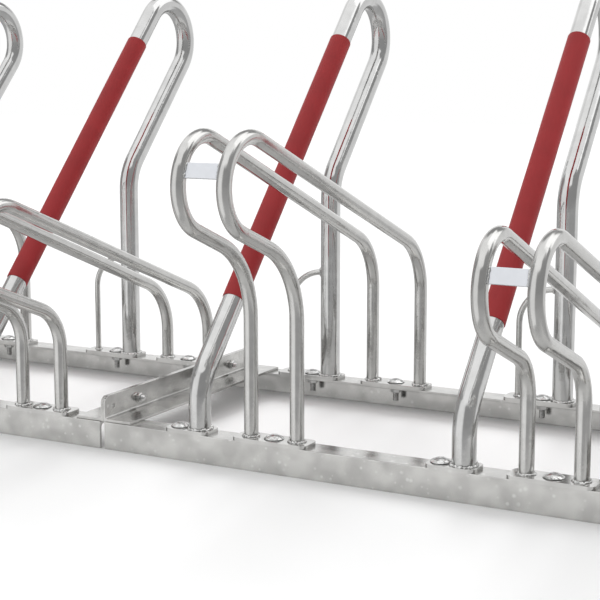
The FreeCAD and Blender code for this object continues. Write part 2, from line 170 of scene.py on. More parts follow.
class ShaderTree:
    """A node tree that is filled by short calls."""

    def __init__(self, tree: bpy.types.NodeTree) -> None:
        """Empty the tree.

        Args:
            tree: Node tree of a material or of the world.
        """
        self.tree = tree
        tree.nodes.clear()

    def add(self, kind: str, settings: Dict[str, Any], values: Dict[Any, Any], output: Any = 0) -> Signal:
        """Add any node.

        Args:
            kind: The node's type.
            settings: Its settings, set first.
            values: Values or signals of its inputs, by name or number.
            output: Name or number of the output to return.

        Returns:
            That output.
        """
        node = self.tree.nodes.new(kind)
        for name, value in settings.items():
            setattr(node, name, value)
        for name, value in values.items():
            if isinstance(value, Signal):
                self.tree.links.new(value.socket, node.inputs[name])
            else:
                node.inputs[name].default_value = value
        return Signal(self, node.outputs[output])

    def finish(self, kind: str, surface: Signal) -> None:
        """Link the output node.

        Args:
            kind: Type of the output node.
            surface: The shader that it shows.
        """
        node = self.tree.nodes.new(kind)
        self.tree.links.new(surface.socket, node.inputs["Surface"])

    # ---- patterns ----
    def position(self) -> Signal:
        """Place on the object, in metres."""
        return self.add("ShaderNodeTexCoord", {}, {}, "Object")

    def noise(self, size: float, detail: float = 3.0, stretch: Sequence[float] = (1, 1, 1),
              seed: float = 0.0) -> Signal:
        """Soft noise.

        Args:
            size: Size of its blotches in metres.
            detail: Octaves.
            stretch: How much the pattern is squeezed along each axis.
            seed: Moves the pattern.

        Returns:
            Value from 0 to 1.
        """
        place = self.add("ShaderNodeMapping", {}, {"Vector": self.position(), "Scale": tuple(stretch),
                                                   "Location": (seed, seed * 0.37, seed * 0.71)})
        return self.add("ShaderNodeTexNoise", {}, {"Vector": place, "Scale": 1.0 / size, "Detail": detail}, "Fac")

    def cells(self, size: float, bend: float = 0.9) -> Signal:
        """Crystal cells with bent borders and one random value each.

        Args:
            size: Size of a cell in metres.
            bend: How far the borders are bent, as a share of the size.

        Returns:
            A random colour for each cell.
        """
        push = self.add("ShaderNodeTexNoise", {},
                        {"Vector": self.position(), "Scale": 0.6 / size, "Detail": 2.0}, "Color")
        bent = self.add("ShaderNodeVectorMath", {"operation": "MULTIPLY_ADD"},
                        {0: push, 1: (size * bend,) * 3, 2: self.position()})
        return self.add("ShaderNodeTexVoronoi", {"feature": "F1"}, {"Vector": bent, "Scale": 1.0 / size}, "Color")

    def channel(self, colour: Signal, name: str) -> Signal:
        """One channel of a colour, by its name."""
        return self.add("ShaderNodeSeparateColor", {}, {"Color": colour}, name)

    def painted_crevice_shade(self, reach: float) -> Signal:
        """Mask for painted shade where a surface meets another one, from 0 in the open to 1 in a narrow corner.

        Args:
            reach: How far from the corner it is felt, in metres.

        Returns:
            Value from 0 to 1.
        """
        return 1.0 - self.add("ShaderNodeAmbientOcclusion", {"samples": 6}, {"Distance": reach}, "AO")

    def specks(self, spacing: float, chosen: Span = (0.40, 0.50), sizes: Span = (0.12, 0.36),
               core: float = 0.3) -> Signal:
        """Small round drops, where a random part of the cells has one.

        Args:
            spacing: Mean distance between cells in metres.
            chosen: Random values between which a cell comes to have a drop.
            sizes: Smallest and largest radius, as a share of the spacing.
            core: Share of the radius inside which a drop is full.

        Returns:
            1 on a drop, 0 beside it.
        """
        away = self.add("ShaderNodeTexVoronoi", {"feature": "F1"},
                        {"Vector": self.position(), "Scale": 1.0 / spacing}, "Distance")
        colour = away.beside("Color")
        there = self.spread(self.channel(colour, "Green"), *chosen)
        size = self.spread(self.channel(colour, "Blue"), 0.0, 1.0, *sizes)
        return self.spread(away / size, core, 1.0, 1.0, 0.0) * there

    def spread(self, value: Signal, low: float, high: float, to_low: float = 0.0, to_high: float = 1.0) -> Signal:
        """Map a range to another, clamped.

        Args:
            value: The signal.
            low: Where the range starts.
            high: Where it ends.
            to_low: Result at its start.
            to_high: Result at its end.

        Returns:
            The mapped signal.
        """
        return self.add("ShaderNodeMapRange", {"clamp": True},
                        {"Value": value, "From Min": low, "From Max": high, "To Min": to_low, "To Max": to_high})

    def mix(self, share: Any, first: Any, second: Any) -> Signal:
        """Blend two colours.

        Args:
            share: How much of the second colour.
            first: Colour or signal.
            second: Colour or signal.

        Returns:
            The blend.
        """
        return self.add("ShaderNodeMix", {"data_type": "RGBA"},
                        {0: share, 6: self.rgba(first), 7: self.rgba(second)}, 2)

    @staticmethod
    def rgba(colour: Any) -> Any:
        """A colour with its alpha, or the signal as it is."""
        return colour if isinstance(colour, Signal) else (*colour, 1.0)

    @staticmethod
    def grey(level: float) -> Tuple[float, float, float, float]:
        """A neutral colour with its alpha."""
        return (level, level, level, 1.0)

    def blend(self, share: Signal, first: Signal, second: Signal) -> Signal:
        """Blend two shaders.

        Args:
            share: How much of the second one.
            first: Shader where the share is 0.
            second: Shader where it is 1.

        Returns:
            The blend.
        """
        return self.add("ShaderNodeMixShader", {}, {0: share, 1: first, 2: second})

    def neutral(self, level: Signal) -> Signal:
        """A neutral colour from a signal."""
        return self.add("ShaderNodeCombineColor", {}, {"Red": level, "Green": level, "Blue": level})

    def bump(self, height: Signal, strength: float, distance: float) -> Signal:
        """Normal of an uneven surface.

        Args:
            height: The unevenness.
            strength: How strongly it shows.
            distance: Depth that a height of 1 stands for, in metres.

        Returns:
            The normal.
        """
        return self.add("ShaderNodeBump", {}, {"Strength": strength, "Distance": distance, "Height": height})

    def ease(self, value: Signal, start: float, end: float) -> Signal:
        """Rise softly from 0 at one value to 1 at another.

        Args:
            value: The signal.
            start: Where the result is 0.
            end: Where it is 1.

        Returns:
            Value from 0 to 1.
        """
        return self.add("ShaderNodeMapRange", {"interpolation_type": "SMOOTHSTEP"},
                        {"Value": value, "From Min": start, "From Max": end})

    def ray(self, kind: str) -> Signal:
        """1 for rays of a kind, else 0."""
        return self.add("ShaderNodeLightPath", {}, {}, kind)

    def mirrored(self) -> Signal:
        """1 for what metal or clear plastic shows, else 0."""
        return self.add("ShaderNodeMath", {"operation": "MAXIMUM"},
                        {0: self.ray("Is Glossy Ray"), 1: self.ray("Is Transmission Ray")})


# ---------------------------------------------------------------- finishes
def new_material(name: str) -> Tuple[bpy.types.Material, ShaderTree]:
    """An empty material and its tree.

    Args:
        name: The material's name.

    Returns:
        Both.
    """
    made = bpy.data.materials.new(name)
    made.use_nodes = True
    return made, ShaderTree(made.node_tree)


def finish_surface(tree: ShaderTree, values: Dict[str, Any]) -> None:
    """Close a material with its principled shader.

    Args:
        tree: The material's tree.
        values: Values and signals of the shader's inputs.
    """
    tree.finish("ShaderNodeOutputMaterial", tree.add("ShaderNodeBsdfPrincipled", {}, values))


def shade(colour: Colour, factor: float) -> Colour:
    """A colour made lighter or darker.

    Args:
        colour: The colour.
        factor: Factor on each channel.

    Returns:
        The new colour.
    """
    return tuple(min(1.0, channel * factor) for channel in colour)


@dataclass(frozen=True)
class ZincFinish:
    """Hot-dip zinc: soft clouds, faint crystals, small bright drops, dull pits and a gentle waviness, with painted
    shade where it meets other surfaces.
    """

    name: str
    colour: Colour
    roughness: float
    cloud: float = 0.05
    cloud_size: float = 0.030
    cloud_detail: float = 2.0
    cloud_edges: Span = (0.36, 0.64)
    crystal: float = 0.02
    crystal_size: float = 0.010
    crystal_dulling: float = 0.03
    drops: float = 0.0
    drop_spacing: float = 0.014
    drop_colour: Colour = (0.88, 0.88, 0.87)
    drop_height: float = 0.4
    drop_patch: float = 0.05
    drop_patch_edges: Span = (0.38, 0.54)
    pits: float = 0.05
    pit_size: float = 0.005
    pit_edges: Span = (0.66, 0.76)
    pit_shade: float = 0.40
    wave: float = 0.20
    wave_size: float = 0.020
    wave_depth: float = 0.0010
    streak: float = 0.0
    streak_size: float = 0.005
    streak_squeeze: float = 0.06
    grain: float = 0.10
    grain_size: float = 0.0018
    dulling: float = 0.08
    # Painted shade: how strongly, how far out and how dark the colour is darkened where the surface meets another
    # one.
    painted_crevice_shade: float = 0.6
    painted_shade_reach: float = 0.004
    painted_shade_factor: float = 0.12

    def material(self) -> bpy.types.Material:
        """Build the material.

        Returns:
            The finished material.
        """
        made, tree = new_material(self.name)
        cloud = tree.spread(tree.noise(self.cloud_size, self.cloud_detail, seed=3.1), *self.cloud_edges)
        crystal = tree.channel(tree.cells(self.crystal_size), "Red")
        patch = tree.spread(tree.noise(self.drop_patch, 2.0, seed=9.0), *self.drop_patch_edges)
        drop = tree.specks(self.drop_spacing) * patch
        pit = tree.spread(tree.noise(self.pit_size, 4.0, seed=7.7), *self.pit_edges)
        base = tree.mix(cloud, shade(self.colour, 1 - self.cloud), shade(self.colour, 1 + self.cloud))
        base = tree.mix(tree.spread(crystal, 0.0, 1.0, 0.0, self.crystal), base, (0.0, 0.0, 0.0))
        base = tree.mix(drop * self.drops, base, self.drop_colour)
        base = tree.mix(pit * self.pits, base, shade(self.colour, self.pit_shade))
        # Painted shade: darken the colour where the surface meets another one.
        base = tree.mix(tree.painted_crevice_shade(self.painted_shade_reach) * self.painted_crevice_shade, base,
                        shade(self.colour, self.painted_shade_factor))
        rough = self.roughness + (crystal - 0.5) * self.crystal_dulling + cloud * self.dulling + pit * self.pits
        fine = tree.noise(self.grain_size, 3.0, seed=1.3)
        swell = tree.noise(self.wave_size, 2.0, seed=5.9)
        height = fine * self.grain + swell + drop * self.drop_height
        if self.streak:
            stretch = (1.0, self.streak_squeeze, self.streak_squeeze)
            height = height + tree.noise(self.streak_size, 2.0, stretch=stretch, seed=2.6) * self.streak
        finish_surface(tree, {"Base Color": base, "Roughness": rough, "Metallic": 1.0,
                              "Normal": tree.bump(height, self.wave, self.wave_depth)})
        return made


@dataclass(frozen=True)
class WeldFinish:
    """Zinc over a weld bead: glossy lumps with dull valleys and ash grey spots, and painted shade where the bead
    meets the tube and plate.
    """

    name: str
    colour: Colour = (0.70, 0.70, 0.69)
    dark: Colour = (0.42, 0.42, 0.415)
    roughness: float = 0.11
    dulling: float = 0.20
    blotch_size: float = 0.0045
    blotch_edges: Span = (0.56, 0.66)
    # Painted shade: how strongly, how far out and how dark the bead is darkened where it meets the tube and plate.
    painted_crevice_shade: float = 0.35
    painted_shade_reach: float = 0.003
    painted_shade_factor: float = 0.3
    lump_size: float = 0.0045
    lump_strength: float = 0.55
    lump_depth: float = 0.0014

    def material(self) -> bpy.types.Material:
        """Build the material.

        Returns:
            The finished material.
        """
        made, tree = new_material(self.name)
        blotch = tree.spread(tree.noise(self.blotch_size, 3.0, seed=2.2), *self.blotch_edges)
        base = tree.mix(blotch, self.colour, self.dark)
        # Painted shade: darken the bead where it meets the tube and plate.
        base = tree.mix(tree.painted_crevice_shade(self.painted_shade_reach) * self.painted_crevice_shade, base, shade(self.dark, self.painted_shade_factor))
        lumps = tree.noise(self.lump_size, 3.0, seed=9.4)
        finish_surface(tree, {"Base Color": base, "Roughness": self.roughness + blotch * self.dulling,
                              "Metallic": 1.0, "Normal": tree.bump(lumps, self.lump_strength, self.lump_depth)})
        return made


@dataclass(frozen=True)
class SleeveFinish:
    """Shrink sleeve: satin red plastic with faint lengthwise strain and scuffs."""

    name: str
    colour: Colour = (0.390, 0.033, 0.036)
    roughness: float = 0.46
    specular: float = 0.25
    cloud_size: float = 0.05
    cloud_edges: Span = (0.3, 0.7)
    cloud_shades: Span = (0.92, 1.07)
    cloud_dulling: float = 0.08
    scuff_colour: Colour = (0.44, 0.10, 0.095)
    scuff_size: float = 0.004
    scuff_stretch: Tuple[float, float, float] = (1.0, 0.35, 0.35)
    scuff_edges: Span = (0.64, 0.80)
    scuff: float = 0.22
    scuff_dulling: float = 0.10
    grain_size: float = 0.0012
    grain: float = 0.5
    wave: float = 0.6
    skin_strength: float = 0.15
    skin_depth: float = 0.0004

    def material(self) -> bpy.types.Material:
        """Build the material.

        Returns:
            The finished material.
        """
        made, tree = new_material(self.name)
        cloud = tree.noise(self.cloud_size, 4.0, seed=4.2)
        dark, light = (shade(self.colour, factor) for factor in self.cloud_shades)
        base = tree.mix(tree.spread(cloud, *self.cloud_edges), dark, light)
        scuff = tree.spread(tree.noise(self.scuff_size, 5.0, stretch=self.scuff_stretch, seed=6.3), *self.scuff_edges)
        base = tree.mix(scuff * self.scuff, base, self.scuff_colour)
        rough = self.roughness + cloud * self.cloud_dulling + scuff * self.scuff_dulling
        skin = tree.noise(self.grain_size, 3.0, seed=8.8) * self.grain + cloud * self.wave
        finish_surface(tree, {"Base Color": base, "Roughness": rough, "Specular IOR Level": self.specular,
                              "Normal": tree.bump(skin, self.skin_strength, self.skin_depth)})
        return made


@dataclass
class Finishes:
    """Every finish of the rack, each built once."""

    hoop: ZincFinish = ZincFinish(
        "zinc_on_hoops", (0.645, 0.642, 0.630), 0.13, wave=0.30, streak=0.35, grain=0.03)
    lean: ZincFinish = ZincFinish(
        "zinc_on_lean_hoops", (0.660, 0.660, 0.655), 0.08, wave=0.26, streak=0.45, streak_size=0.007,
        grain=0.02, dulling=0.05)
    rail: ZincFinish = ZincFinish(
        "zinc_on_rails", (0.618, 0.614, 0.600), 0.15, cloud=0.12, cloud_size=0.036, cloud_detail=1.4,
        crystal=0.0, drops=0.6, drop_spacing=0.013, pits=0.0, wave=0.07, wave_size=0.034, grain=0.0,
        dulling=0.07, painted_crevice_shade=0.4)
    plate: ZincFinish = ZincFinish(
        "zinc_on_plates", (0.630, 0.626, 0.614), 0.08, cloud=0.08, cloud_size=0.036, cloud_detail=1.4,
        crystal=0.0, drops=0.6, drop_spacing=0.013, pits=0.0, wave=0.09, wave_size=0.030, grain=0.0,
        dulling=0.04, painted_crevice_shade=0.5)
    strip: ZincFinish = ZincFinish(
        "bright_flat_bar", (0.80, 0.82, 0.86), 0.30, cloud=0.03, crystal=0.02, pits=0.0)
    # Bolt heads: strong painted shade where they meet the plates.
    fastener: ZincFinish = ZincFinish(
        "zinc_on_bolt_heads", (0.690, 0.690, 0.685), 0.04, cloud=0.16, cloud_size=0.008, crystal=0.0,
        pits=0.0, wave=1.0, wave_size=0.0055, grain=0.03, dulling=0.03, painted_crevice_shade=1.0, painted_shade_reach=0.006)
    shank: ZincFinish = ZincFinish(
        "zinc_on_shanks", (0.690, 0.690, 0.685), 0.16, cloud=0.08, cloud_size=0.010, crystal=0.0, pits=0.0,
        wave=0.15, grain=0.03, painted_crevice_shade=0.25, painted_shade_reach=0.002)
    weld: WeldFinish = WeldFinish("zinc_on_welds")
    tack: WeldFinish = WeldFinish("zinc_on_tacks", dark=(0.55, 0.55, 0.545), painted_crevice_shade=0.15)
    sleeve: SleeveFinish = SleeveFinish("red_shrink_sleeve")
    made: Dict[str, bpy.types.Material] = field(default_factory=dict)

    def get(self, finish: Any) -> bpy.types.Material:
        """The material of a finish.

        Args:
            finish: One of the finishes above.

        Returns:
            Its material, built at its first use.
        """
        if finish.name not in self.made:
            self.made[finish.name] = finish.material()
        return self.made[finish.name]


FINISHES = Finishes()


# ---------------------------------------------------------------- mesh tools
def shade_mesh(mesh: bpy.types.Mesh, smooth_angle: float, turn_out: bool = False, balance: float = 8.0) -> None:
    """Shade a mesh smooth, with its corners and the rims of its big flats kept sharp.

    Args:
        mesh: The mesh.
        smooth_angle: Edges sharper than this stay sharp, in degrees.
        turn_out: Whether its faces are first turned to look outward.
        balance: Edges between faces whose areas differ more than this many times stay sharp too.
    """
    work = bmesh.new()
    work.from_mesh(mesh)
    if turn_out:
        bmesh.ops.recalc_face_normals(work, faces=work.faces)
    limit = math.radians(smooth_angle)
    for edge in work.edges:
        if len(edge.link_faces) == 2:
            areas = sorted(face.calc_area() for face in edge.link_faces)
            edge.smooth = edge.calc_face_angle(0.0) <= limit and areas[1] <= balance * areas[0]
    for face in work.faces:
        face.smooth = True
    work.to_mesh(mesh)
    work.free()


class MeshDraft:
    """Points and faces of one piece, gathered before its object is made."""

    def __init__(self) -> None:
        """Start with nothing."""
        self.points: List[Vector] = []
        self.faces: List[List[int]] = []

    def ring(self, points: Iterable[Vector]) -> List[int]:
        """Add points.

        Args:
            points: The points.

        Returns:
            Their numbers.
        """
        start = len(self.points)
        self.points.extend(points)
        return list(range(start, len(self.points)))

    def band(self, first: List[int], second: List[int]) -> None:
        """Close the strip between two rings of as many points.

        Args:
            first: Numbers of one ring.
            second: Numbers of the next.
        """
        count = len(first)
        for k in range(count):
            after = (k + 1) % count
            self.faces.append([first[k], first[after], second[after], second[k]])

    def cap(self, ring: List[int], turned: bool = False) -> None:
        """Close a ring with one face.

        Args:
            ring: Numbers of the ring.
            turned: Whether the face looks the other way.
        """
        self.faces.append(list(reversed(ring)) if turned else list(ring))

    def stack(self, rings: Sequence[Sequence[Vector]], closed: bool = False) -> None:
        """Join rings into a skin, with caps at its ends unless it closes on itself.

        Args:
            rings: The rings in order, of as many points each.
            closed: Whether the last ring joins the first.
        """
        numbers = [self.ring(points) for points in rings]
        for first, second in zip(numbers, numbers[1:]):
            self.band(first, second)
        if closed:
            self.band(numbers[-1], numbers[0])
        else:
            self.cap(numbers[0], True)
            self.cap(numbers[-1])

    def make(self, name: str, finish: Any, smooth_angle: float = FLAT_EDGES) -> bpy.types.Object:
        """Make the object.

        Args:
            name: The piece's name.
            finish: Its finish.
            smooth_angle: Edges sharper than this stay sharp, in degrees.

        Returns:
            The object, linked to the scene.
        """
        mesh = bpy.data.meshes.new(name)
        mesh.from_pydata([tuple(point) for point in self.points], [], self.faces)
        shade_mesh(mesh, smooth_angle, turn_out=True)
        made = bpy.data.objects.new(name, mesh)
        mesh.materials.append(FINISHES.get(finish))
        bpy.context.scene.collection.objects.link(made)
        return made


def settle(piece: bpy.types.Object, slot: Slot, *nodes: str) -> bpy.types.Object:
    """Put a piece on the root body and let it stand for its nodes.

    Args:
        piece: The finished object.
        slot: The material slot that it belongs to; not used.
        nodes: The nodes that it replaces, if any.

    Returns:
        The same object.
    """
    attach(piece, "root")
    if nodes:
        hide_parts(*nodes)
    LOG.info("%s stands for %s", piece.name, ", ".join(nodes) or "no node of its own")
    return piece


def sloped(angle: float) -> Vector:
    """Direction that runs backward and up.

    Args:
        angle: Degrees from level.

    Returns:
        Unit vector.
    """
    return Vector((0.0, math.cos(math.radians(angle)), math.sin(math.radians(angle))))


def crossing(point: Vector, heading: Vector, depth: float) -> Vector:
    """Point of a line at a given depth.

    Args:
        point: A point of the line.
        heading: Its direction.
        depth: The y that is wanted.

    Returns:
        The point.
    """
    return point + heading * ((depth - point.y) / heading.y)


@dataclass
class BentBar:
    """A round bar or tube through corner points, with a bend at each inner one."""

    corners: List[Vector]
    bends: List[float]
    diameter: float
    side: Vector
    around: int = 40
    bend_step: float = 3.5

    def rings(self) -> List[Tuple[Vector, Vector]]:
        """Places and headings along the bar.

        Returns:
            One pair for each ring.
        """
        first, second = self.corners[0], self.corners[1]
        found = [(first, (second - first).normalized())]
        for before, corner, after, radius in zip(self.corners, self.corners[1:], self.corners[2:], self.bends):
            incoming = (corner - before).normalized()
            outgoing = (after - corner).normalized()
            turn = incoming.angle(outgoing)
            start = corner - incoming * (radius * math.tan(turn / 2))
            centre = corner + (outgoing - incoming).normalized() * (radius / math.cos(turn / 2))
            axis = incoming.cross(outgoing).normalized()
            steps = max(2, math.ceil(math.degrees(turn) / self.bend_step))
            for k in range(steps + 1):
                spin = Matrix.Rotation(turn * k / steps, 3, axis)
                place = centre + spin @ (start - centre)
                if (place - found[-1][0]).length > SAME_PLACE:
                    found.append((place, spin @ incoming))
        last, second_last = self.corners[-1], self.corners[-2]
        found.append((last, (last - second_last).normalized()))
        return found

    def outline(self, place: Vector, heading: Vector, diameter: float) -> Ring:
        """Round outline square to the heading.

        Args:
            place: Its middle.
            heading: Direction of the bar there.
            diameter: Its diameter.

        Returns:
            Points round the bar.
        """
        other = heading.cross(self.side).normalized()
        across = other.cross(heading).normalized()
        return circle(place, across, other, diameter / 2, self.around)

    def draw(self, draft: MeshDraft) -> None:
        """Add the bar to a draft.

        Args:
            draft: The draft.
        """
        draft.stack([self.outline(place, heading, self.diameter) for place, heading in self.rings()])


@dataclass
class WeldBead:
    """A rippled fillet weld along a closed or open line."""

    size: float = 0.0045
    ripple: float = 0.0052
    depth: float = 0.12
    uneven: float = 0.55
    lumps: float = 0.75
    around: int = 12
    uneven_scale: float = 110.0
    lump_scale: float = 300.0
    end_taper: float = 0.35

    def draw(self, draft: MeshDraft, line: Sequence[Vector], seed: float, closed: bool = True) -> None:
        """Add the bead to a draft.

        Args:
            draft: The draft.
            line: Points of the bead's middle.
            seed: Moves the unevenness.
            closed: Whether the line closes on itself.
        """
        rings = []
        count = len(line)
        travelled = 0.0
        shift = Vector((seed, seed, seed))
        for k, point in enumerate(line):
            before = line[(k - 1) % count] if closed or k else point
            after = line[(k + 1) % count] if closed or k < count - 1 else point
            heading = (after - before).normalized()
            travelled += (point - before).length if k else 0.0
            other = heading.cross(UP if abs(heading.z) < 0.9 else ALONG).normalized()
            across = other.cross(heading).normalized()
            wave = math.sin(travelled / self.ripple * FULL_TURN)
            broad = 1.0 + self.depth * wave + self.uneven * noise.noise(point * self.uneven_scale + shift)
            ends = self.end_taper if not closed and k in (0, count - 1) else 1.0
            ring = []
            for j in range(self.around):
                angle = FULL_TURN * j / self.around
                way = other * math.cos(angle) + across * math.sin(angle)
                lump = 1.0 + self.lumps * noise.noise((point + way * self.size) * self.lump_scale + shift)
                ring.append(point + way * (self.size * broad * lump * ends))
            rings.append(ring)
        draft.stack(rings, closed)


def circle(middle: Vector, first: Vector, second: Vector, radius: float, count: int) -> Ring:
    """Points round a circle.

    Args:
        middle: Its middle.
        first: One direction in its plane.
        second: The other.
        radius: Its radius.
        count: How many points.

    Returns:
        The points.
    """
    turns = [FULL_TURN * k / count for k in range(count)]
    return [middle + (first * math.cos(turn) + second * math.sin(turn)) * radius for turn in turns]


def rounded_outline(low: Vector, high: Vector, radius: float, steps: int = 8) -> List[Spot]:
    """Outline of a rectangle with rounded corners.

    Args:
        low: Corner with the lowest x and y.
        high: Corner with the highest.
        radius: Corner radius.
        steps: Pieces of each corner.

    Returns:
        x and y of each point.
    """
    points = []
    centres = [(low.x + radius, low.y + radius), (high.x - radius, low.y + radius),
               (high.x - radius, high.y - radius), (low.x + radius, high.y - radius)]
    for number, (x, y) in enumerate(centres):
        for k in range(steps + 1):
            angle = math.pi + QUARTER_TURN * (number + k / steps)
            points.append((x + radius * math.cos(angle), y + radius * math.sin(angle)))
    return points


def arc(middle: Spot, radius: float, start: float, turn: float, steps: int) -> List[Spot]:
    """Arc of a section.

    Args:
        middle: Middle of the arc.
        radius: Its radius.
        start: Angle at which it starts, in quarter turns.
        turn: Angle that it runs through, in quarter turns.
        steps: Pieces of the arc.

    Returns:
        Its points.
    """
    points = []
    for k in range(steps + 1):
        angle = (start + turn * k / steps) * QUARTER_TURN
        points.append((middle[0] + radius * math.cos(angle), middle[1] + radius * math.sin(angle)))
    return points


# ---------------------------------------------------------------- places and rails
@dataclass
class RowLayout:
    """Where the row's places, rails and bolts are."""

    pitch: float = 0.5
    places_per_module: int = 2
    modules: int = 2
    first_inset: float = 0.345
    low_drop: float = 0.13
    rail_leg: float = 0.05
    base_depth: float = 0.56
    plate: float = 0.006
    lean_offset: float = 0.15
    lean_bolt_offset: float = 0.04

    @property
    def front_face(self) -> float:
        """y of the front rail's outer face."""
        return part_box("front_rail_1")[0].y

    @property
    def middle_y(self) -> float:
        """y halfway between the rails' outer faces."""
        return self.front_face + self.base_depth / 2

    @property
    def module_length(self) -> float:
        """Length of one module."""
        return self.pitch * self.places_per_module

    @property
    def foot_z(self) -> float:
        """Height of the plates' tops."""
        return self.rail_leg + self.plate

    def leg_y(self, row: Row) -> float:
        """Depth of the middle of a rail's level leg.

        Args:
            row: Front or back.

        Returns:
            Its y.
        """
        inset = self.rail_leg / 2
        return self.front_face + (inset if row is Row.FRONT else self.base_depth - inset)

    def module_start(self, module: int) -> float:
        """x of a module's left end."""
        return self.module_length * (module - self.modules / 2)

    def centre(self, place: int) -> float:
        """x of the middle of a place's wheel holder."""
        module, step = divmod(place, self.places_per_module)
        return self.module_start(module) + self.first_inset + self.pitch * step

    def drop(self, place: int) -> float:
        """How much lower a place's hoops stand."""
        return self.low_drop if place % 2 else 0.0

    @property
    def places(self) -> range:
        """Numbers of the places, from 0."""
        return range(self.places_per_module * self.modules)

    def bolts(self) -> List[Spot]:
        """Find the bolts that hold the foot plates.

        Returns:
            x and y of each bolt.
        """
        spots = []
        for place in self.places:
            for row in Row:
                spots.append((self.centre(place) - self.lean_offset - self.lean_bolt_offset, self.leg_y(row)))
                spots.append((self.centre(place), self.leg_y(row)))
        return spots


ROW = RowLayout()


@dataclass
class FloorRail:
    """Hot-rolled equal angle: upright leg outside, level leg pointing into the frame."""

    module: int
    row: Row
    leg: float = 0.05
    wall: float = 0.005
    root: float = 0.007
    toe: float = 0.002
    heel: float = 0.0012
    end_gap: float = 0.005

    def section(self) -> List[Spot]:
        """Points of the angle section.

        Returns:
            y from the outer face and z from the ground, of each point.
        """
        leg, wall, root, toe, heel = self.leg, self.wall, self.root, self.toe, self.heel
        points = [(0.0, 0.0)]
        points += arc((wall - toe, toe), toe, 3, 1, 4)
        points += arc((wall + root, leg - wall - root), root, 2, -1, 8)
        points += arc((leg - toe, leg - wall + toe), toe, 3, 1, 4)
        points += [(leg, leg)]
        points += arc((heel, leg - heel), heel, 1, 1, 3)
        return points

    def build(self) -> bpy.types.Object:
        """Make the rail.

        Returns:
            The object.
        """
        start = ROW.module_start(self.module) + self.end_gap
        end = start + ROW.module_length - 2 * self.end_gap
        inward = 1.0 if self.row is Row.FRONT else -1.0
        face = ROW.front_face + (0.0 if self.row is Row.FRONT else ROW.base_depth)
        draft = MeshDraft()
        draft.stack([[Vector((x, face + inward * y, z)) for y, z in self.section()] for x in (start, end)])
        name = f"{self.row.value}_rail_{self.module + 1}"
        made = draft.make(f"{name}_skin", FINISHES.rail)
        return settle(made, Slot.RAIL, name)


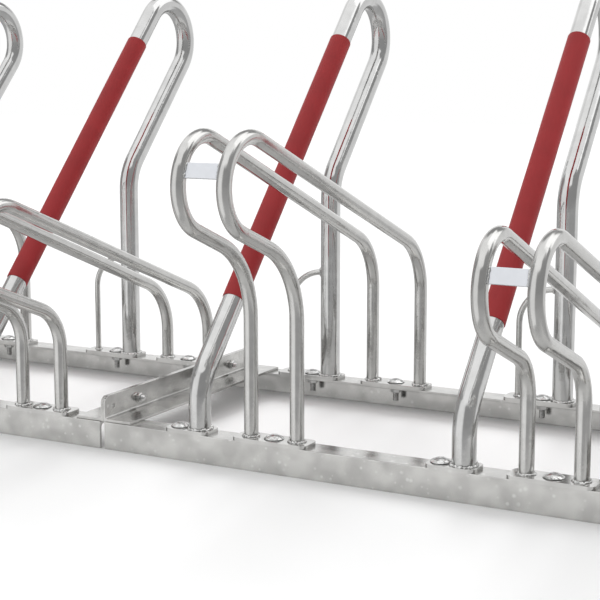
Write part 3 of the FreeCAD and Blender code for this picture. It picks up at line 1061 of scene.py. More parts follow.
@dataclass
class CrossAngle:
    """Folded angle across a module's end, with the holes for the coupling bolts."""

    module: int
    side: Side
    flange: float = 0.06
    web: float = 0.046
    wall: float = 0.005
    bend: float = 0.004
    setback: float = 0.004
    corner: float = 0.014
    coupling_spacing: float = 0.34
    coupling_hole: float = 0.011
    coupling_height: float = 0.024
    tie_hole: float = 0.009
    tie_inset: float = 0.03
    bevel: float = 0.0005
    bevel_edges: float = 50.0
    bend_steps: int = 6
    corner_steps: int = 10
    hole_sides: int = 32
    overcut: float = 0.004
    corner_overcut: float = 0.002

    @property
    def outer(self) -> float:
        """x of the web's outer face."""
        return ROW.module_start(self.module + (1 if self.side is Side.RIGHT else 0))

    @property
    def inward(self) -> float:
        """1 where the flange points to the right, -1 where it points to the left."""
        return -1.0 if self.side is Side.RIGHT else 1.0

    def holes(self) -> List[Tuple[float, float]]:
        """Find the holes in the web.

        Returns:
            y and diameter of each hole.
        """
        middle = ROW.middle_y
        reach = ROW.base_depth / 2 - self.tie_inset
        half = self.coupling_spacing / 2
        return [(middle - reach, self.tie_hole), (middle - half, self.coupling_hole),
                (middle + half, self.coupling_hole), (middle + reach, self.tie_hole)]

    @property
    def ends(self) -> Span:
        """y of the angle's two ends."""
        return ROW.front_face + self.setback, ROW.front_face + ROW.base_depth - self.setback

    @staticmethod
    def bar(outline: Sequence[Spot], draft: MeshDraft, low: float, high: float) -> None:
        """Add a straight bar that runs from left to right.

        Args:
            outline: y and z of each point of its section.
            draft: The draft that takes it.
            low: x of one end.
            high: x of the other.
        """
        draft.stack([[Vector((x, y, z)) for y, z in outline] for x in (low, high)])

    def blank(self) -> bpy.types.Object:
        """The folded strip before its holes and corners are cut.

        Returns:
            An object for the cutting.
        """
        base = ROW.rail_leg
        reach = self.wall + self.bend
        profile = [(0.0, base + self.web), (0.0, base), (self.flange, base), (self.flange, base + self.wall)]
        for k in range(self.bend_steps + 1):
            angle = QUARTER_TURN * k / self.bend_steps
            profile.append((reach - self.bend * math.sin(angle), base + reach - self.bend * math.cos(angle)))
        profile.append((self.wall, base + self.web))
        draft = MeshDraft()
        draft.stack([[Vector((self.outer + self.inward * x, y, z)) for x, z in profile] for y in self.ends])
        return draft.make("cross_angle_blank", FINISHES.rail)

    def cutters(self) -> bpy.types.Object:
        """Bars that cut the holes and the web's upper corners.

        Returns:
            One object that holds them all.
        """
        draft = MeshDraft()
        low = self.outer - self.inward * self.overcut
        high = self.outer + self.inward * (self.wall + self.overcut)
        height = ROW.rail_leg + self.coupling_height
        for y, diameter in self.holes():
            hole = circle(Vector((0.0, y, height)), BACKWARD, UP, diameter / 2, self.hole_sides)
            self.bar([(point.y, point.z) for point in hole], draft, low, high)
        top = ROW.rail_leg + self.web
        for end, sign in zip(self.ends, (1.0, -1.0)):
            centre_y, centre_z = end + sign * self.corner, top - self.corner
            outside, above = end - sign * self.corner_overcut, top + self.corner_overcut
            outline = [(outside, centre_z), (outside, above), (centre_y, above)]
            for k in range(self.corner_steps + 1):
                angle = QUARTER_TURN * k / self.corner_steps
                outline.append((centre_y - sign * self.corner * math.sin(angle),
                                centre_z + self.corner * math.cos(angle)))
            self.bar(outline, draft, low, high)
        return draft.make("cross_angle_cutters", FINISHES.rail)

    def build(self) -> bpy.types.Object:
        """Make the angle and cut it.

        Returns:
            The object.
        """
        blank = self.blank()
        cutters = self.cutters()
        cut = blank.modifiers.new("cut", "BOOLEAN")
        cut.operation = "DIFFERENCE"
        cut.solver = "EXACT"
        cut.object = cutters
        bevel = blank.modifiers.new("edges", "BEVEL")
        bevel.width = self.bevel
        bevel.segments = 2
        bevel.limit_method = "ANGLE"
        bevel.angle_limit = math.radians(self.bevel_edges)
        name = f"{self.side.name.lower()}_cross_angle_{self.module + 1}"
        mesh = bpy.data.meshes.new_from_object(blank.evaluated_get(bpy.context.evaluated_depsgraph_get()))
        mesh.name = f"{name}_skin"
        shade_mesh(mesh, FLAT_EDGES)
        made = bpy.data.objects.new(f"{name}_skin", mesh)
        bpy.context.scene.collection.objects.link(made)
        for spare in (blank, cutters):
            old = spare.data
            bpy.data.objects.remove(spare)
            bpy.data.meshes.remove(old)
        return settle(made, Slot.RAIL, name)


@dataclass
class PlacePart:
    """What belongs to one place of the row."""

    place: int

    @property
    def number(self) -> int:
        """Number in the names of the place's nodes."""
        return self.place + 1


# ---------------------------------------------------------------- wheel holder
@dataclass
class WheelHolder(PlacePart):
    """Pair of hoops, tyre stop, foot plates and welds of one place."""

    tube: float = 0.025
    front_spacing: float = 0.09
    back_spacing: float = 0.105
    high_top: float = 0.594
    overhang: float = 0.217
    nose: float = 0.077
    front_bend: float = 0.15
    low_front_bend: float = 0.085
    back_bend: float = 0.12
    slope: float = 21.3
    stop_height: float = 0.025
    stop_thickness: float = 0.005
    stop_tilt: float = 20.5
    stop_trim: float = 0.0105
    stop_edge: float = 0.0009
    stop_weld: float = 0.0015
    stop_weld_ripple: float = 0.003
    stop_weld_steps: int = 8
    plate_length: float = 0.145

    @property
    def middle(self) -> Vector:
        """Middle of the nose bend."""
        return Vector((0.0, ROW.front_face + self.nose + self.tube / 2 - self.overhang,
                       self.high_top - self.tube / 2 - self.nose - ROW.drop(self.place)))

    def foot(self, side: Side, row: Row) -> Vector:
        """Middle of a leg where it stands on its plate.

        Args:
            side: Which hoop.
            row: Which leg.

        Returns:
            The point.
        """
        spacing = self.front_spacing if row is Row.FRONT else self.back_spacing
        return Vector((ROW.centre(self.place) + side.value * spacing / 2, ROW.leg_y(row), ROW.foot_z))

    def run(self, side: Side) -> Vector:
        """Level line from a hoop's front foot to its back foot.

        Args:
            side: Which hoop.

        Returns:
            The vector.
        """
        across = self.foot(side, Row.BACK) - self.foot(side, Row.FRONT)
        return Vector((across.x, across.y, 0.0))

    def swung(self, side: Side, point: Vector) -> Vector:
        """Move a point of the middle plane into a hoop's turned plane.

        Args:
            side: Which hoop.
            point: The point, at x 0.

        Returns:
            The point of the hoop.
        """
        front = self.foot(side, Row.FRONT)
        heading = self.run(side).normalized()
        return Vector((front.x, front.y, 0.0)) + heading * (point.y - front.y) + UP * point.z

    def hoop_bar(self, side: Side) -> BentBar:
        """The bent tube of one hoop.

        Args:
            side: Which hoop.

        Returns:
            The bar, in its turned plane.
        """
        front = self.foot(side, Row.FRONT)
        back_y = front.y + self.run(side).length
        forward = sloped(-self.slope) * -1
        normal = sloped(90 - self.slope)
        under = self.middle - normal * self.nose
        over = self.middle + normal * self.nose
        flat = [Vector((0.0, front.y, front.z)), crossing(under, forward, front.y), under + forward * self.nose,
                over + forward * self.nose, crossing(over, forward, back_y), Vector((0.0, back_y, front.z))]
        first_bend = self.low_front_bend if ROW.drop(self.place) else self.front_bend
        across = self.run(side).normalized().cross(UP)
        return BentBar([self.swung(side, point) for point in flat],
                       [first_bend, self.nose, self.nose, self.back_bend], self.tube, across)

    def build_hoops(self) -> None:
        """Both hoops."""
        for side in Side:
            draft = MeshDraft()
            self.hoop_bar(side).draw(draft)
            name = f"{side.name.lower()}_wheel_hoop_{self.number}"
            settle(draft.make(f"{name}_tube", FINISHES.hoop, ROUND_EDGES), Slot.HOOP, name)

    @property
    def outward(self) -> Vector:
        """Direction that the tyre stop faces."""
        return sloped(-self.stop_tilt) * -1

    def nose_point(self, side: Side) -> Vector:
        """Axis of a hoop at the tyre stop's middle.

        Args:
            side: Which hoop.

        Returns:
            The point.
        """
        return self.swung(side, self.middle + self.outward * self.nose)

    def build_stop(self) -> None:
        """Flat bar between the noses, with a small weld at each end."""
        upward = sloped(90 - self.stop_tilt)
        half = Vector((self.stop_thickness / 2, self.stop_height / 2, 0.0))
        outline = rounded_outline(-half, half, self.stop_edge, 3)
        rings = []
        for side in Side:
            middle = self.nose_point(side) - ALONG * (side.value * self.stop_trim)
            rings.append([middle + self.outward * out + upward * rise for out, rise in outline])
        draft = MeshDraft()
        draft.stack(rings)
        name = f"tyre_stop_{self.number}"
        settle(draft.make(f"{name}_bar", FINISHES.strip), Slot.STRIP, name)
        beads = MeshDraft()
        bead = WeldBead(size=self.stop_weld, ripple=self.stop_weld_ripple, around=8)
        steps = self.stop_weld_steps
        reach = math.sqrt((self.tube / 2) ** 2 - half.x ** 2)
        for side in Side:
            for face in (-1.0, 1.0):
                base = self.nose_point(side) - ALONG * (side.value * reach) + self.outward * (face * half.x)
                line = [base + upward * (half.y * step / steps) for step in range(-steps, steps + 1)]
                bead.draw(beads, line, self.place * 3.0 + face, closed=False)
        settle(beads.make(f"{name}_welds", FINISHES.tack, NO_EDGES), Slot.STRIP)

    def build_plates(self) -> None:
        """Both foot plates."""
        centre = ROW.centre(self.place)
        for row in Row:
            FootPlate(f"{row.value}_wheel_plate_{self.number}", centre - self.plate_length / 2,
                      centre + self.plate_length / 2, row).build()

    def build_welds(self) -> None:
        """Beads round the four feet."""
        for row in Row:
            draft = MeshDraft()
            for side in Side:
                FootWeld(self.foot(side, row), self.tube).draw(draft, 7.0 * self.place + side.value)
            settle(draft.make(f"{row.value}_wheel_welds_{self.number}", FINISHES.weld, NO_EDGES), Slot.PLATE)

    def build(self) -> None:
        """Build everything of the place's wheel holder."""
        self.build_hoops()
        self.build_stop()
        self.build_plates()
        self.build_welds()


@dataclass
class FootWeld:
    """Bead round the foot of a tube or rod."""

    foot: Vector
    tube: float
    size: float = 0.0031
    rod_size: float = 0.0021
    thin: float = 0.02
    outside: float = 0.0003
    step: float = 0.0008

    def draw(self, draft: MeshDraft, seed: float) -> None:
        """Add the bead to a draft.

        Args:
            draft: The draft.
            seed: Moves the unevenness.
        """
        count = int(math.pi * self.tube / self.step)
        line = circle(self.foot, ALONG, BACKWARD, self.tube / 2 + self.outside, count)
        WeldBead(size=self.size if self.tube > self.thin else self.rod_size).draw(draft, line, seed)


@dataclass
class FootPlate:
    """Plate on a rail's level leg, lapping over the rounded heel of the rail."""

    name: str
    low_x: float
    high_x: float
    row: Row
    radius: float = 0.012
    edge: float = 0.0004
    lap: float = 0.0012
    proud: float = 0.00015

    def build(self) -> bpy.types.Object:
        """Make the plate with rounded corners and softened edges.

        Returns:
            The object.
        """
        y = ROW.leg_y(self.row) - ROW.rail_leg / 2
        low = Vector((self.low_x, y - self.proud, 0.0))
        high = Vector((self.high_x, y + ROW.rail_leg + self.proud, 0.0))
        inset = Vector((self.edge, self.edge, 0.0))
        bottom, top = ROW.rail_leg, ROW.foot_z
        levels = [(bottom - self.lap, 0.0), (top - self.edge, 0.0), (top - self.edge * 0.3, 0.3), (top, 1.0)]
        rings = []
        middle = (low.y + high.y) / 2
        heel_side = 1.0 if self.row is Row.FRONT else -1.0
        for level, share in levels:
            ring = []
            for x, y in rounded_outline(low + inset * share, high - inset * share, self.radius - self.edge * share):
                laps = level < bottom and (middle - y) * heel_side > 0
                ring.append(Vector((x, y, level if laps else max(level, bottom))))
            rings.append(ring)
        draft = MeshDraft()
        draft.stack(rings)
        return settle(draft.make(f"{self.name}_skin", FINISHES.plate, PLATE_EDGES), Slot.PLATE, self.name)


# ---------------------------------------------------------------- lean-on hoop
@dataclass
class LeanOn(PlacePart):
    """Slanted lean-on hoop with its sleeve, locking eye, plates and welds."""

    tube: float = 0.04
    slope: float = 47.5
    spacing: float = 0.16
    front_corner: float = 0.14
    top: float = 0.85
    bend: float = 0.1
    sleeve_wall: float = 0.0015
    sleeve_start: float = 0.176
    sleeve_length: float = 0.64
    sleeve_clearance: float = 0.0001
    sleeve_lip: float = 0.55
    sleeve_slices: int = 40
    sleeve_swell: float = 0.00018
    sleeve_swell_scale: float = 14.0
    eye_rod: float = 0.012
    eye_offset: float = 0.09
    eye_top: float = 0.27
    eye_bend: float = 0.07
    eye_end: float = 0.002
    eye_weld: float = 0.0022
    eye_weld_gap: float = 0.0006
    eye_weld_step: float = 0.001
    plate_tail: float = 0.027
    bolt_margin: float = 0.021
    eye_margin: float = 0.024
    around: int = 56
    eye_around: int = 28

    @property
    def x(self) -> float:
        """Where the hoop's plane stands."""
        return ROW.centre(self.place) - ROW.lean_offset

    def corners(self) -> Tuple[Vector, Vector, Vector]:
        """Find the points that shape the hoop.

        Returns:
            Corner of the front leg, corner of the back leg and middle of the top bend.
        """
        heading = sloped(self.slope)
        normal = sloped(self.slope + 90)
        front = Vector((self.x, ROW.leg_y(Row.FRONT), self.front_corner))
        back = crossing(front - normal * self.spacing, heading, ROW.leg_y(Row.BACK))
        between = front - normal * (self.spacing / 2)
        top_z = self.top - self.tube / 2 - self.spacing / 2
        return front, back, between + heading * ((top_z - between.z) / heading.z)

    def build_hoop(self) -> None:
        """The large bent tube."""
        front, back, top = self.corners()
        heading = sloped(self.slope)
        normal = sloped(self.slope + 90)
        radius = self.spacing / 2
        points = [Vector((self.x, front.y, ROW.foot_z)), front, top + (normal + heading) * radius,
                  top - (normal - heading) * radius, back, Vector((self.x, back.y, ROW.foot_z))]
        draft = MeshDraft()
        BentBar(points, [self.bend, radius, radius, self.bend], self.tube, ALONG, self.around).draw(draft)
        name = f"lean_hoop_{self.number}"
        settle(draft.make(f"{name}_tube", FINISHES.lean, ROUND_EDGES), Slot.LEAN, name)

    def build_sleeve(self) -> None:
        """The red sleeve, shrunk on, with softened lips."""
        front, _, _ = self.corners()
        heading = sloped(self.slope)
        start = front + heading * self.sleeve_start
        outer = self.tube / 2 + self.sleeve_clearance + self.sleeve_wall
        inner = self.tube / 2 + self.sleeve_clearance
        lip = self.sleeve_wall * self.sleeve_lip
        length, slices = self.sleeve_length, self.sleeve_slices
        end = [(0.0, inner), (0.0, outer - lip), (lip * 0.3, outer - lip * 0.3), (lip, outer)]
        profile = end + [(length * k / slices, outer) for k in range(1, slices)]
        profile += [(length - along, radius) for along, radius in reversed(end)]
        other = heading.cross(ALONG).normalized()
        rings = []
        for along, radius in profile:
            if radius == outer:
                spot = Vector((along * self.sleeve_swell_scale, self.place * 2.0, 0.0))
                radius -= abs(self.sleeve_swell * noise.noise(spot))
            rings.append(circle(start + heading * along, ALONG, other, radius, self.around))
        draft = MeshDraft()
        draft.stack(rings, closed=True)
        name = f"lean_sleeve_{self.number}"
        settle(draft.make(f"{name}_skin", FINISHES.sleeve, ROUND_EDGES), Slot.SLEEVE, name)

    def build_eye(self) -> None:
        """The thin rod that bends over into the hoop's back leg."""
        _, back, _ = self.corners()
        foot = Vector((self.x - self.eye_offset, back.y, ROW.foot_z))
        corner = Vector((foot.x, foot.y, self.eye_top))
        end = Vector((self.x - self.tube / 2 + self.eye_end, foot.y, self.eye_top))
        bend = min(self.eye_bend, end.x - corner.x)
        draft = MeshDraft()
        BentBar([foot, corner, end], [bend], self.eye_rod, BACKWARD, self.eye_around).draw(draft)
        name = f"locking_eye_{self.number}"
        settle(draft.make(f"{name}_rod", FINISHES.hoop, ROUND_EDGES), Slot.HOOP, name)

    def build_plates(self) -> None:
        """Both foot plates; the back one also carries the locking eye."""
        bolt_x = self.x - ROW.lean_bolt_offset
        tail = self.x + self.plate_tail
        FootPlate(f"front_lean_plate_{self.number}", bolt_x - self.bolt_margin, tail, Row.FRONT).build()
        eye_x = self.x - self.eye_offset
        FootPlate(f"back_lean_plate_{self.number}", eye_x - self.eye_margin, tail, Row.BACK).build()

    def build_welds(self) -> None:
        """Beads round the feet and where the eye meets the hoop."""
        _, back, _ = self.corners()
        for row in Row:
            draft = MeshDraft()
            FootWeld(Vector((self.x, ROW.leg_y(row), ROW.foot_z)), self.tube).draw(draft, 5.0 * self.place)
            if row is Row.BACK:
                FootWeld(Vector((self.x - self.eye_offset, back.y, ROW.foot_z)), self.eye_rod).draw(draft, 1.0)
                joint = Vector((self.x - self.tube / 2 - self.eye_weld_gap, back.y, self.eye_top))
                count = int(math.pi * self.eye_rod / self.eye_weld_step)
                line = circle(joint, BACKWARD, UP, self.eye_rod / 2 + self.eye_weld_gap, count)
                WeldBead(size=self.eye_weld).draw(draft, line, 2.0)
            settle(draft.make(f"{row.value}_lean_welds_{self.number}", FINISHES.weld, NO_EDGES), Slot.PLATE)

    def build(self) -> None:
        """Build everything of the place's lean-on hoop."""
        self.build_hoop()
        self.build_sleeve()
        self.build_eye()
        self.build_plates()
        self.build_welds()


# ---------------------------------------------------------------- fasteners
# Threads: points round, where a groove starts before its crest, and the depth of the end's chamfer.
THREAD_SIDES = 20
THREAD_FLANK = 0.30
THREAD_TIP = 1.5
# Hexagons: points round, the round face's share of the width, its chamfer in degrees, and the bore's lead-in.
HEXAGON_POINTS = 36
HEXAGON_FACE = 0.97
HEXAGON_CHAMFER = 30.0
BORE_LEAD = 0.06


@dataclass
class CupBolts:
    """Cup-head bolts through the foot plates, and the nuts under the rails."""

    size: float = 0.012
    length: float = 0.04
    head: float = 0.035
    head_height: float = 0.0078
    rim: float = 0.0012
    nut_width: float = 0.019
    nut_height: float = 0.01
    pitch: float = 0.00175
    thread_depth: float = 0.0009
    seat_gap: float = 0.0001
    head_edge: float = 0.0004
    head_sides: int = 36
    head_steps: int = 12
    crown: float = 0.0008
    crown_drop: float = 0.00001

    def head_rings(self, seat: Vector) -> List[Ring]:
        """Dome from its rim to its top.

        Args:
            seat: Middle of the head's underside.

        Returns:
            Rings of points.
        """
        rise = self.head_height - self.rim
        sphere = (rise ** 2 + (self.head / 2) ** 2) / (2 * rise)
        profile = [(0.0, self.head / 2 - self.head_edge), (self.head_edge, self.head / 2)]
        for k in range(self.head_steps):
            height = self.rim + rise * math.sin(QUARTER_TURN * k / self.head_steps)
            below = self.head_height - height
            profile.append((height, math.sqrt(max(0.0, sphere ** 2 - (sphere - below) ** 2))))
        profile.append((self.head_height - self.crown_drop, self.crown))
        return [circle(seat + UP * height, ALONG, BACKWARD, radius, self.head_sides) for height, radius in profile]

    def build_bolts(self) -> None:
        """Heads, and threaded shanks below them."""
        heads = MeshDraft()
        shanks = MeshDraft()
        for x, y in ROW.bolts():
            seat = Vector((x, y, ROW.foot_z))
            heads.stack(self.head_rings(seat))
            draw_thread(shanks, seat - UP * self.seat_gap, seat - UP * self.length, self.size, self.pitch,
                        self.thread_depth)
        settle(heads.make("cup_head_bolts_turned", FINISHES.fastener, HEAD_EDGES), Slot.FASTENER, "cup_head_bolts")
        settle(shanks.make("cup_head_bolt_shanks", FINISHES.shank, HEAD_EDGES), Slot.FASTENER)

    def build_nuts(self) -> None:
        """Chamfered hexagon nuts."""
        draft = MeshDraft()
        for x, y in ROW.bolts():
            top = Vector((x, y, ROW.rail_leg - FloorRail(0, Row.FRONT).wall))
            draw_hexagon(draft, top, UP * -1, ALONG, self.nut_width, self.nut_height, self.size)
        settle(draft.make("rail_nuts_turned", FINISHES.shank, HEXAGON_EDGES), Slot.FASTENER, "rail_nuts")

    def build(self) -> None:
        """Build the bolts and the nuts."""
        self.build_bolts()
        self.build_nuts()


def draw_thread(draft: MeshDraft, start: Vector, end: Vector, size: float, pitch: float, depth: float) -> None:
    """Shank with rolled grooves.

    Args:
        draft: The draft that takes it.
        start: Its upper end.
        end: Its lower end.
        size: Outside diameter.
        pitch: Distance from groove to groove.
        depth: Depth of the grooves.
    """
    heading = (end - start).normalized()
    first = heading.orthogonal().normalized()
    second = heading.cross(first)
    groove, crest, tip = size / 2 - depth, size / 2, size / 2 - depth * THREAD_TIP
    profile = [(start, groove)]
    for k in range(int((end - start).length / pitch)):
        middle = start + heading * (pitch * (k + 0.5))
        profile += [(middle - heading * (pitch * THREAD_FLANK), groove), (middle, crest)]
    profile.append((end, tip))
    draft.stack([circle(middle, first, second, radius, THREAD_SIDES) for middle, radius in profile])


def draw_hexagon(draft: MeshDraft, seat: Vector, axis: Vector, side: Vector, width: float, height: float,
                 bore: float) -> None:
    """Hexagon nut or bolt head with chamfered corners.

    Args:
        draft: The draft that takes it.
        seat: Middle of the face that it sits on.
        axis: Direction from that face to the other.
        side: Direction that one flat faces.
        width: Width across flats.
        height: Its height.
        bore: Diameter of its hole, or 0 for a closed head.
    """
    other = axis.cross(side)
    sixth = math.pi / 6

    def outline(along: float, limit: float) -> Ring:
        """Hexagon cut by a circle.

        Args:
            along: How far it lies from the seat.
            limit: Radius of the circle.

        Returns:
            Its points.
        """
        points = []
        for k in range(HEXAGON_POINTS):
            angle = FULL_TURN * k / HEXAGON_POINTS
            flat = (angle + sixth) % (2 * sixth) - sixth
            radius = min(width / 2 / math.cos(flat), limit)
            points.append(seat + axis * along + (side * math.cos(angle) + other * math.sin(angle)) * radius)
        return points

    tip = width / 2 / math.cos(sixth)
    face = width / 2 * HEXAGON_FACE
    drop = (tip - face) * math.tan(math.radians(HEXAGON_CHAMFER))
    rings = [outline(0.0, face)] if bore else []
    rings += [outline(drop if bore else 0.0, tip), outline(height - drop, tip), outline(height, face)]
    if bore:
        lead = bore * BORE_LEAD
        for along, radius in ((height, bore / 2 + lead / 2), (height - lead, bore / 2), (0.0, bore / 2)):
            rings.append(circle(seat + axis * along, side, other, radius, HEXAGON_POINTS))
    draft.stack(rings, closed=bool(bore))


@dataclass
class Couplings:
    """Hexagon bolts that join the modules' webs."""

    size: float = 0.01
    length: float = 0.025
    width: float = 0.017
    head_height: float = 0.0064
    nut_height: float = 0.008
    pitch: float = 0.0015
    thread_depth: float = 0.0007

    def seats(self) -> List[Vector]:
        """Find the coupling bolts.

        Returns:
            Middle of each joint, on the bolt's axis.
        """
        angle = CrossAngle(0, Side.RIGHT)
        height = ROW.rail_leg + angle.coupling_height
        joints = [ROW.module_start(module) for module in range(1, ROW.modules)]
        depths = [ROW.middle_y + sign * angle.coupling_spacing / 2 for sign in (-1, 1)]
        return [Vector((x, y, height)) for x in joints for y in depths]

    def build(self) -> None:
        """Build the bolts and their nuts."""
        wall = CrossAngle(0, Side.RIGHT).wall
        bolts = MeshDraft()
        nuts = MeshDraft()
        for middle in self.seats():
            left = middle - ALONG * wall
            right = middle + ALONG * wall
            draw_hexagon(bolts, left, ALONG * -1, BACKWARD, self.width, self.head_height, 0.0)
            draw_thread(bolts, left, left + ALONG * self.length, self.size, self.pitch, self.thread_depth)
            draw_hexagon(nuts, right, ALONG, BACKWARD, self.width, self.nut_height, self.size)
        settle(bolts.make("coupling_bolts_turned", FINISHES.shank, HEXAGON_EDGES), Slot.FASTENER, "coupling_bolts")
        settle(nuts.make("coupling_nuts_turned", FINISHES.shank, HEXAGON_EDGES), Slot.FASTENER, "coupling_nuts")


# ---------------------------------------------------------------- studio
# Half width of a field that goes all the way round, and height of the zenith, in degrees.
ALL_ROUND = 180.0
ZENITH = 90.0


@dataclass(frozen=True)
class Field:
    """A soft-edged field of the studio's surroundings, which the zinc mirrors.

    Directions turn from the front (0) to the right (90); heights are degrees over the horizon.
    """

    level: float
    turn: float
    half_width: float
    low: float
    high: float
    soft: float = 12.0
    soft_height: float = 10.0

    def share(self, tree: ShaderTree, level_way: Signal, rise: Signal) -> Signal:
        """How much of this field a direction sees.

        Args:
            tree: The world's tree.
            level_way: The direction without its height, of length 1.
            rise: Height of the direction's tip.

        Returns:
            Value from 0 to 1.
        """
        turn = math.radians(self.turn)
        facing = tree.add("ShaderNodeVectorMath", {"operation": "DOT_PRODUCT"},
                          {0: level_way, 1: (math.sin(turn), -math.cos(turn), 0.0)}, "Value")
        outer = math.cos(math.radians(min(ALL_ROUND, self.half_width + self.soft)))
        inner = math.cos(math.radians(self.half_width))
        share = tree.ease(rise, self.height(self.low - self.soft_height), self.height(self.low))
        if self.half_width < ALL_ROUND:
            share = share * tree.ease(facing, outer, inner)
        if self.high < ZENITH:
            share = share * tree.ease(rise, self.height(self.high + self.soft_height), self.height(self.high))
        return share

    @staticmethod
    def height(angle: float) -> float:
        """Height of a direction's tip for its angle over the horizon."""
        return math.sin(math.radians(max(-ZENITH, min(ZENITH, angle))))


@dataclass(frozen=True)
class Lamp:
    """A distant soft lamp, which lights the whole floor evenly."""

    name: str
    place: Tuple[float, float, float]
    width: float
    strength: float

    def build(self) -> None:
        """Hang the lamp, aim it at the rack and keep it out of what the zinc shows."""
        data = bpy.data.lights.new(self.name, "SUN")
        data.angle = math.radians(self.width)
        data.energy = self.strength
        made = bpy.data.objects.new(self.name, data)
        made.location = self.place
        made.rotation_euler = (-Vector(self.place)).to_track_quat("-Z", "Y").to_euler()
        made.visible_glossy = False
        bpy.context.scene.collection.objects.link(made)


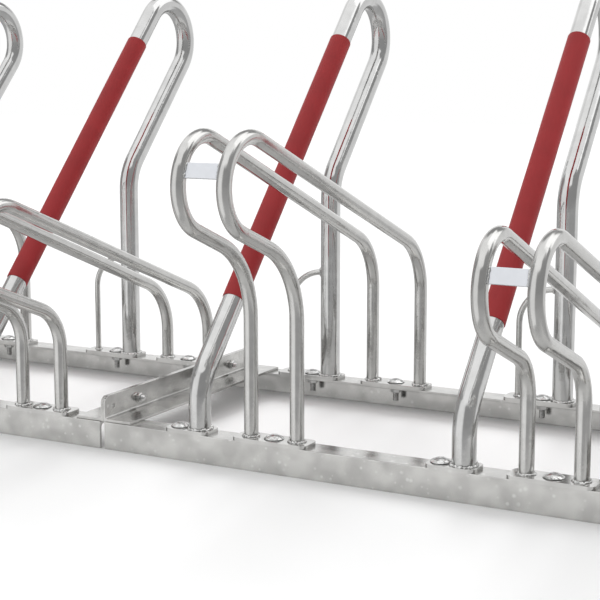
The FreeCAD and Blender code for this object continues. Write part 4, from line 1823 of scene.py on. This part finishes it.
@dataclass
class Studio:
    """Camera, floor, surroundings and lamps."""

    camera_place: Tuple[float, float, float] = (1.5162, -2.3641, 0.6900)
    camera_tilt: float = 81.632
    camera_turn: float = 28.176
    lens: float = 86.0
    sensor: float = 36.0
    clip_end: float = 60.0
    shift: Tuple[float, float] = (0.0044, -0.0370)
    floor_half: float = 14.0
    floor_drop: float = 0.0002
    floor_colour: float = 0.93
    floor_glow: float = 0.060
    # Floor tones that the zinc mirrors near the rack: a painted shadow inside the rack's outline, lighter beside it.
    painted_floor_shadow: Colour = (0.60, 0.60, 0.59)
    floor_beside: Colour = (0.80, 0.80, 0.79)
    floor_sheen: float = 0.35
    floor_edge: Span = (-0.05, 0.02)
    floor_fade: Span = (0.10, 0.45)
    below_rise: Span = (-0.60, -0.06)
    below_level: Span = (0.50, 0.40)
    horizon_rise: Span = (-0.04, 0.04)
    room_level: float = 0.35
    soft_light: Span = (0.22, 1.04)
    fields: Tuple[Field, ...] = (
        Field(0.50, -82.0, 14.0, -60.0, -6.0, 18.0),
        Field(0.85, 178.0, 20.0, -24.0, 12.0, 16.0),
        Field(0.98, -150.0, 24.0, 3.0, 24.0, 16.0, 3.0),
        Field(0.98, -34.0, 20.0, -52.0, 42.0, 22.0, 8.0),
        Field(0.92, -112.0, 14.0, 28.0, 60.0, 8.0, 6.0),
        Field(1.10, -38.0, 78.0, 43.0, 90.0, 12.0, 6.0),
        Field(0.84, 134.0, 14.0, -10.0, 18.0, 16.0, 6.0),
        Field(1.10, 0.0, 180.0, 60.0, 90.0, 1.0, 6.0),
        Field(1.55, 141.0, 13.0, 25.0, 90.0, 10.0, 6.0),
        Field(1.55, 138.0, 40.0, 48.0, 90.0, 14.0, 6.0),
    )
    lamps: Tuple[Lamp, ...] = (
        Lamp("key", (-1.7, 2.6, 2.7), 40.0, 1.75),
    )

    def build_camera(self) -> None:
        """The camera at the photograph's angle."""
        data = bpy.data.cameras.new("camera")
        data.lens = self.lens
        data.sensor_width = self.sensor
        data.shift_x, data.shift_y = self.shift
        data.clip_end = self.clip_end
        made = bpy.data.objects.new("camera", data)
        made.location = self.camera_place
        made.rotation_euler = (math.radians(self.camera_tilt), 0.0, math.radians(self.camera_turn))
        bpy.context.scene.collection.objects.link(made)
        bpy.context.scene.camera = made

    def build_floor(self) -> None:
        """Pale floor that takes the rack's soft shadow; in the zinc only the floor near the rack shows, with a
        painted shadow inside the rack's outline.
        """
        half, z = self.floor_half, -self.floor_drop
        mesh = bpy.data.meshes.new("floor")
        mesh.from_pydata([(-half, -half, z), (half, -half, z), (half, half, z), (-half, half, z)], [], [(0, 1, 2, 3)])
        made = bpy.data.objects.new("floor", mesh)
        material, tree = new_material("pale_floor")
        matte = tree.add("ShaderNodeBsdfDiffuse", {}, {"Color": tree.grey(self.floor_colour)})
        glow = tree.add("ShaderNodeEmission", {}, {"Color": tree.grey(1.0), "Strength": self.floor_glow})
        glowing = tree.add("ShaderNodeAddShader", {}, {0: matte, 1: glow})
        seen = tree.blend(tree.ray("Is Camera Ray"), matte, glowing)
        away = self.floor_distance(tree)
        # In the zinc the floor inside the rack's outline is painted darker: a painted shadow.
        under, beside = (tree.add("ShaderNodeBsdfDiffuse", {}, {"Color": tree.rgba(colour)})
                         for colour in (self.painted_floor_shadow, self.floor_beside))
        near = tree.blend(tree.spread(away, *self.floor_edge), under, beside)
        gone = tree.add("ShaderNodeBsdfTransparent", {}, {})
        fade = self.floor_sheen + (1.0 - self.floor_sheen) * tree.ease(away, *self.floor_fade)
        shown = tree.blend(fade, near, gone)
        tree.finish("ShaderNodeOutputMaterial", tree.blend(tree.mirrored(), seen, shown))
        mesh.materials.append(material)
        bpy.context.scene.collection.objects.link(made)

    @staticmethod
    def floor_distance(tree: ShaderTree) -> Signal:
        """How far a place of the floor lies outside the rack's outline, in metres.

        Args:
            tree: The floor's tree.

        Returns:
            The distance, below 0 inside the outline.
        """
        along = tree.add("ShaderNodeSeparateXYZ", {}, {"Vector": tree.position()}, "X")
        depth = along.beside("Y")
        aside = tree.add("ShaderNodeMath", {"operation": "ABSOLUTE"}, {0: along}) - ROW.module_length
        off = tree.add("ShaderNodeMath", {"operation": "ABSOLUTE"}, {0: depth - ROW.middle_y}) - ROW.base_depth / 2
        return tree.add("ShaderNodeMath", {"operation": "MAXIMUM"}, {0: aside, 1: off})

    def build_world(self) -> None:
        """White to the camera, soft fields in the zinc, and light that grows with height for the rest."""
        world = bpy.data.worlds.new("studio")
        bpy.context.scene.world = world
        world.use_nodes = True
        tree = ShaderTree(world.node_tree)
        way = tree.add("ShaderNodeVectorMath", {"operation": "NORMALIZE"},
                       {0: tree.add("ShaderNodeTexCoord", {}, {}, "Generated")})
        rise = tree.add("ShaderNodeSeparateXYZ", {}, {"Vector": way}, "Z")
        flat = tree.add("ShaderNodeVectorMath", {"operation": "MULTIPLY"}, {0: way, 1: (1.0, 1.0, 0.0)})
        level_way = tree.add("ShaderNodeVectorMath", {"operation": "NORMALIZE"}, {0: flat})
        under = tree.spread(rise, *self.below_rise, *self.below_level)
        tone = under + tree.spread(rise, *self.horizon_rise) * (self.room_level - under)
        for part in self.fields:
            tone = tone + part.share(tree, level_way, rise) * (part.level - tone)
        room = tree.add("ShaderNodeBackground", {}, {"Color": tree.neutral(tone)})
        white = tree.add("ShaderNodeBackground", {}, {"Color": tree.grey(1.0), "Strength": 1.0})
        haze = tree.spread(rise, 0.0, 1.0, *self.soft_light)
        soft = tree.add("ShaderNodeBackground", {}, {"Color": tree.neutral(haze)})
        rest = tree.blend(tree.mirrored(), soft, room)
        tree.finish("ShaderNodeOutputWorld", tree.blend(tree.ray("Is Camera Ray"), rest, white))

    def build(self) -> None:
        """Build the whole studio."""
        self.build_camera()
        self.build_floor()
        self.build_world()
        for lamp in self.lamps:
            lamp.build()


def main() -> None:
    """Build the rack, then the studio."""
    logging.basicConfig(level=logging.INFO, format="%(name)s: %(message)s")
    bpy.context.scene.view_settings.view_transform = "Standard"
    for module in range(ROW.modules):
        for row in Row:
            FloorRail(module, row).build()
        for side in Side:
            CrossAngle(module, side).build()
    for place in ROW.places:
        WheelHolder(place).build()
        LeanOn(place).build()
    CupBolts().build()
    Couplings().build()
    Studio().build()


if __name__ == "__main__":
    main()
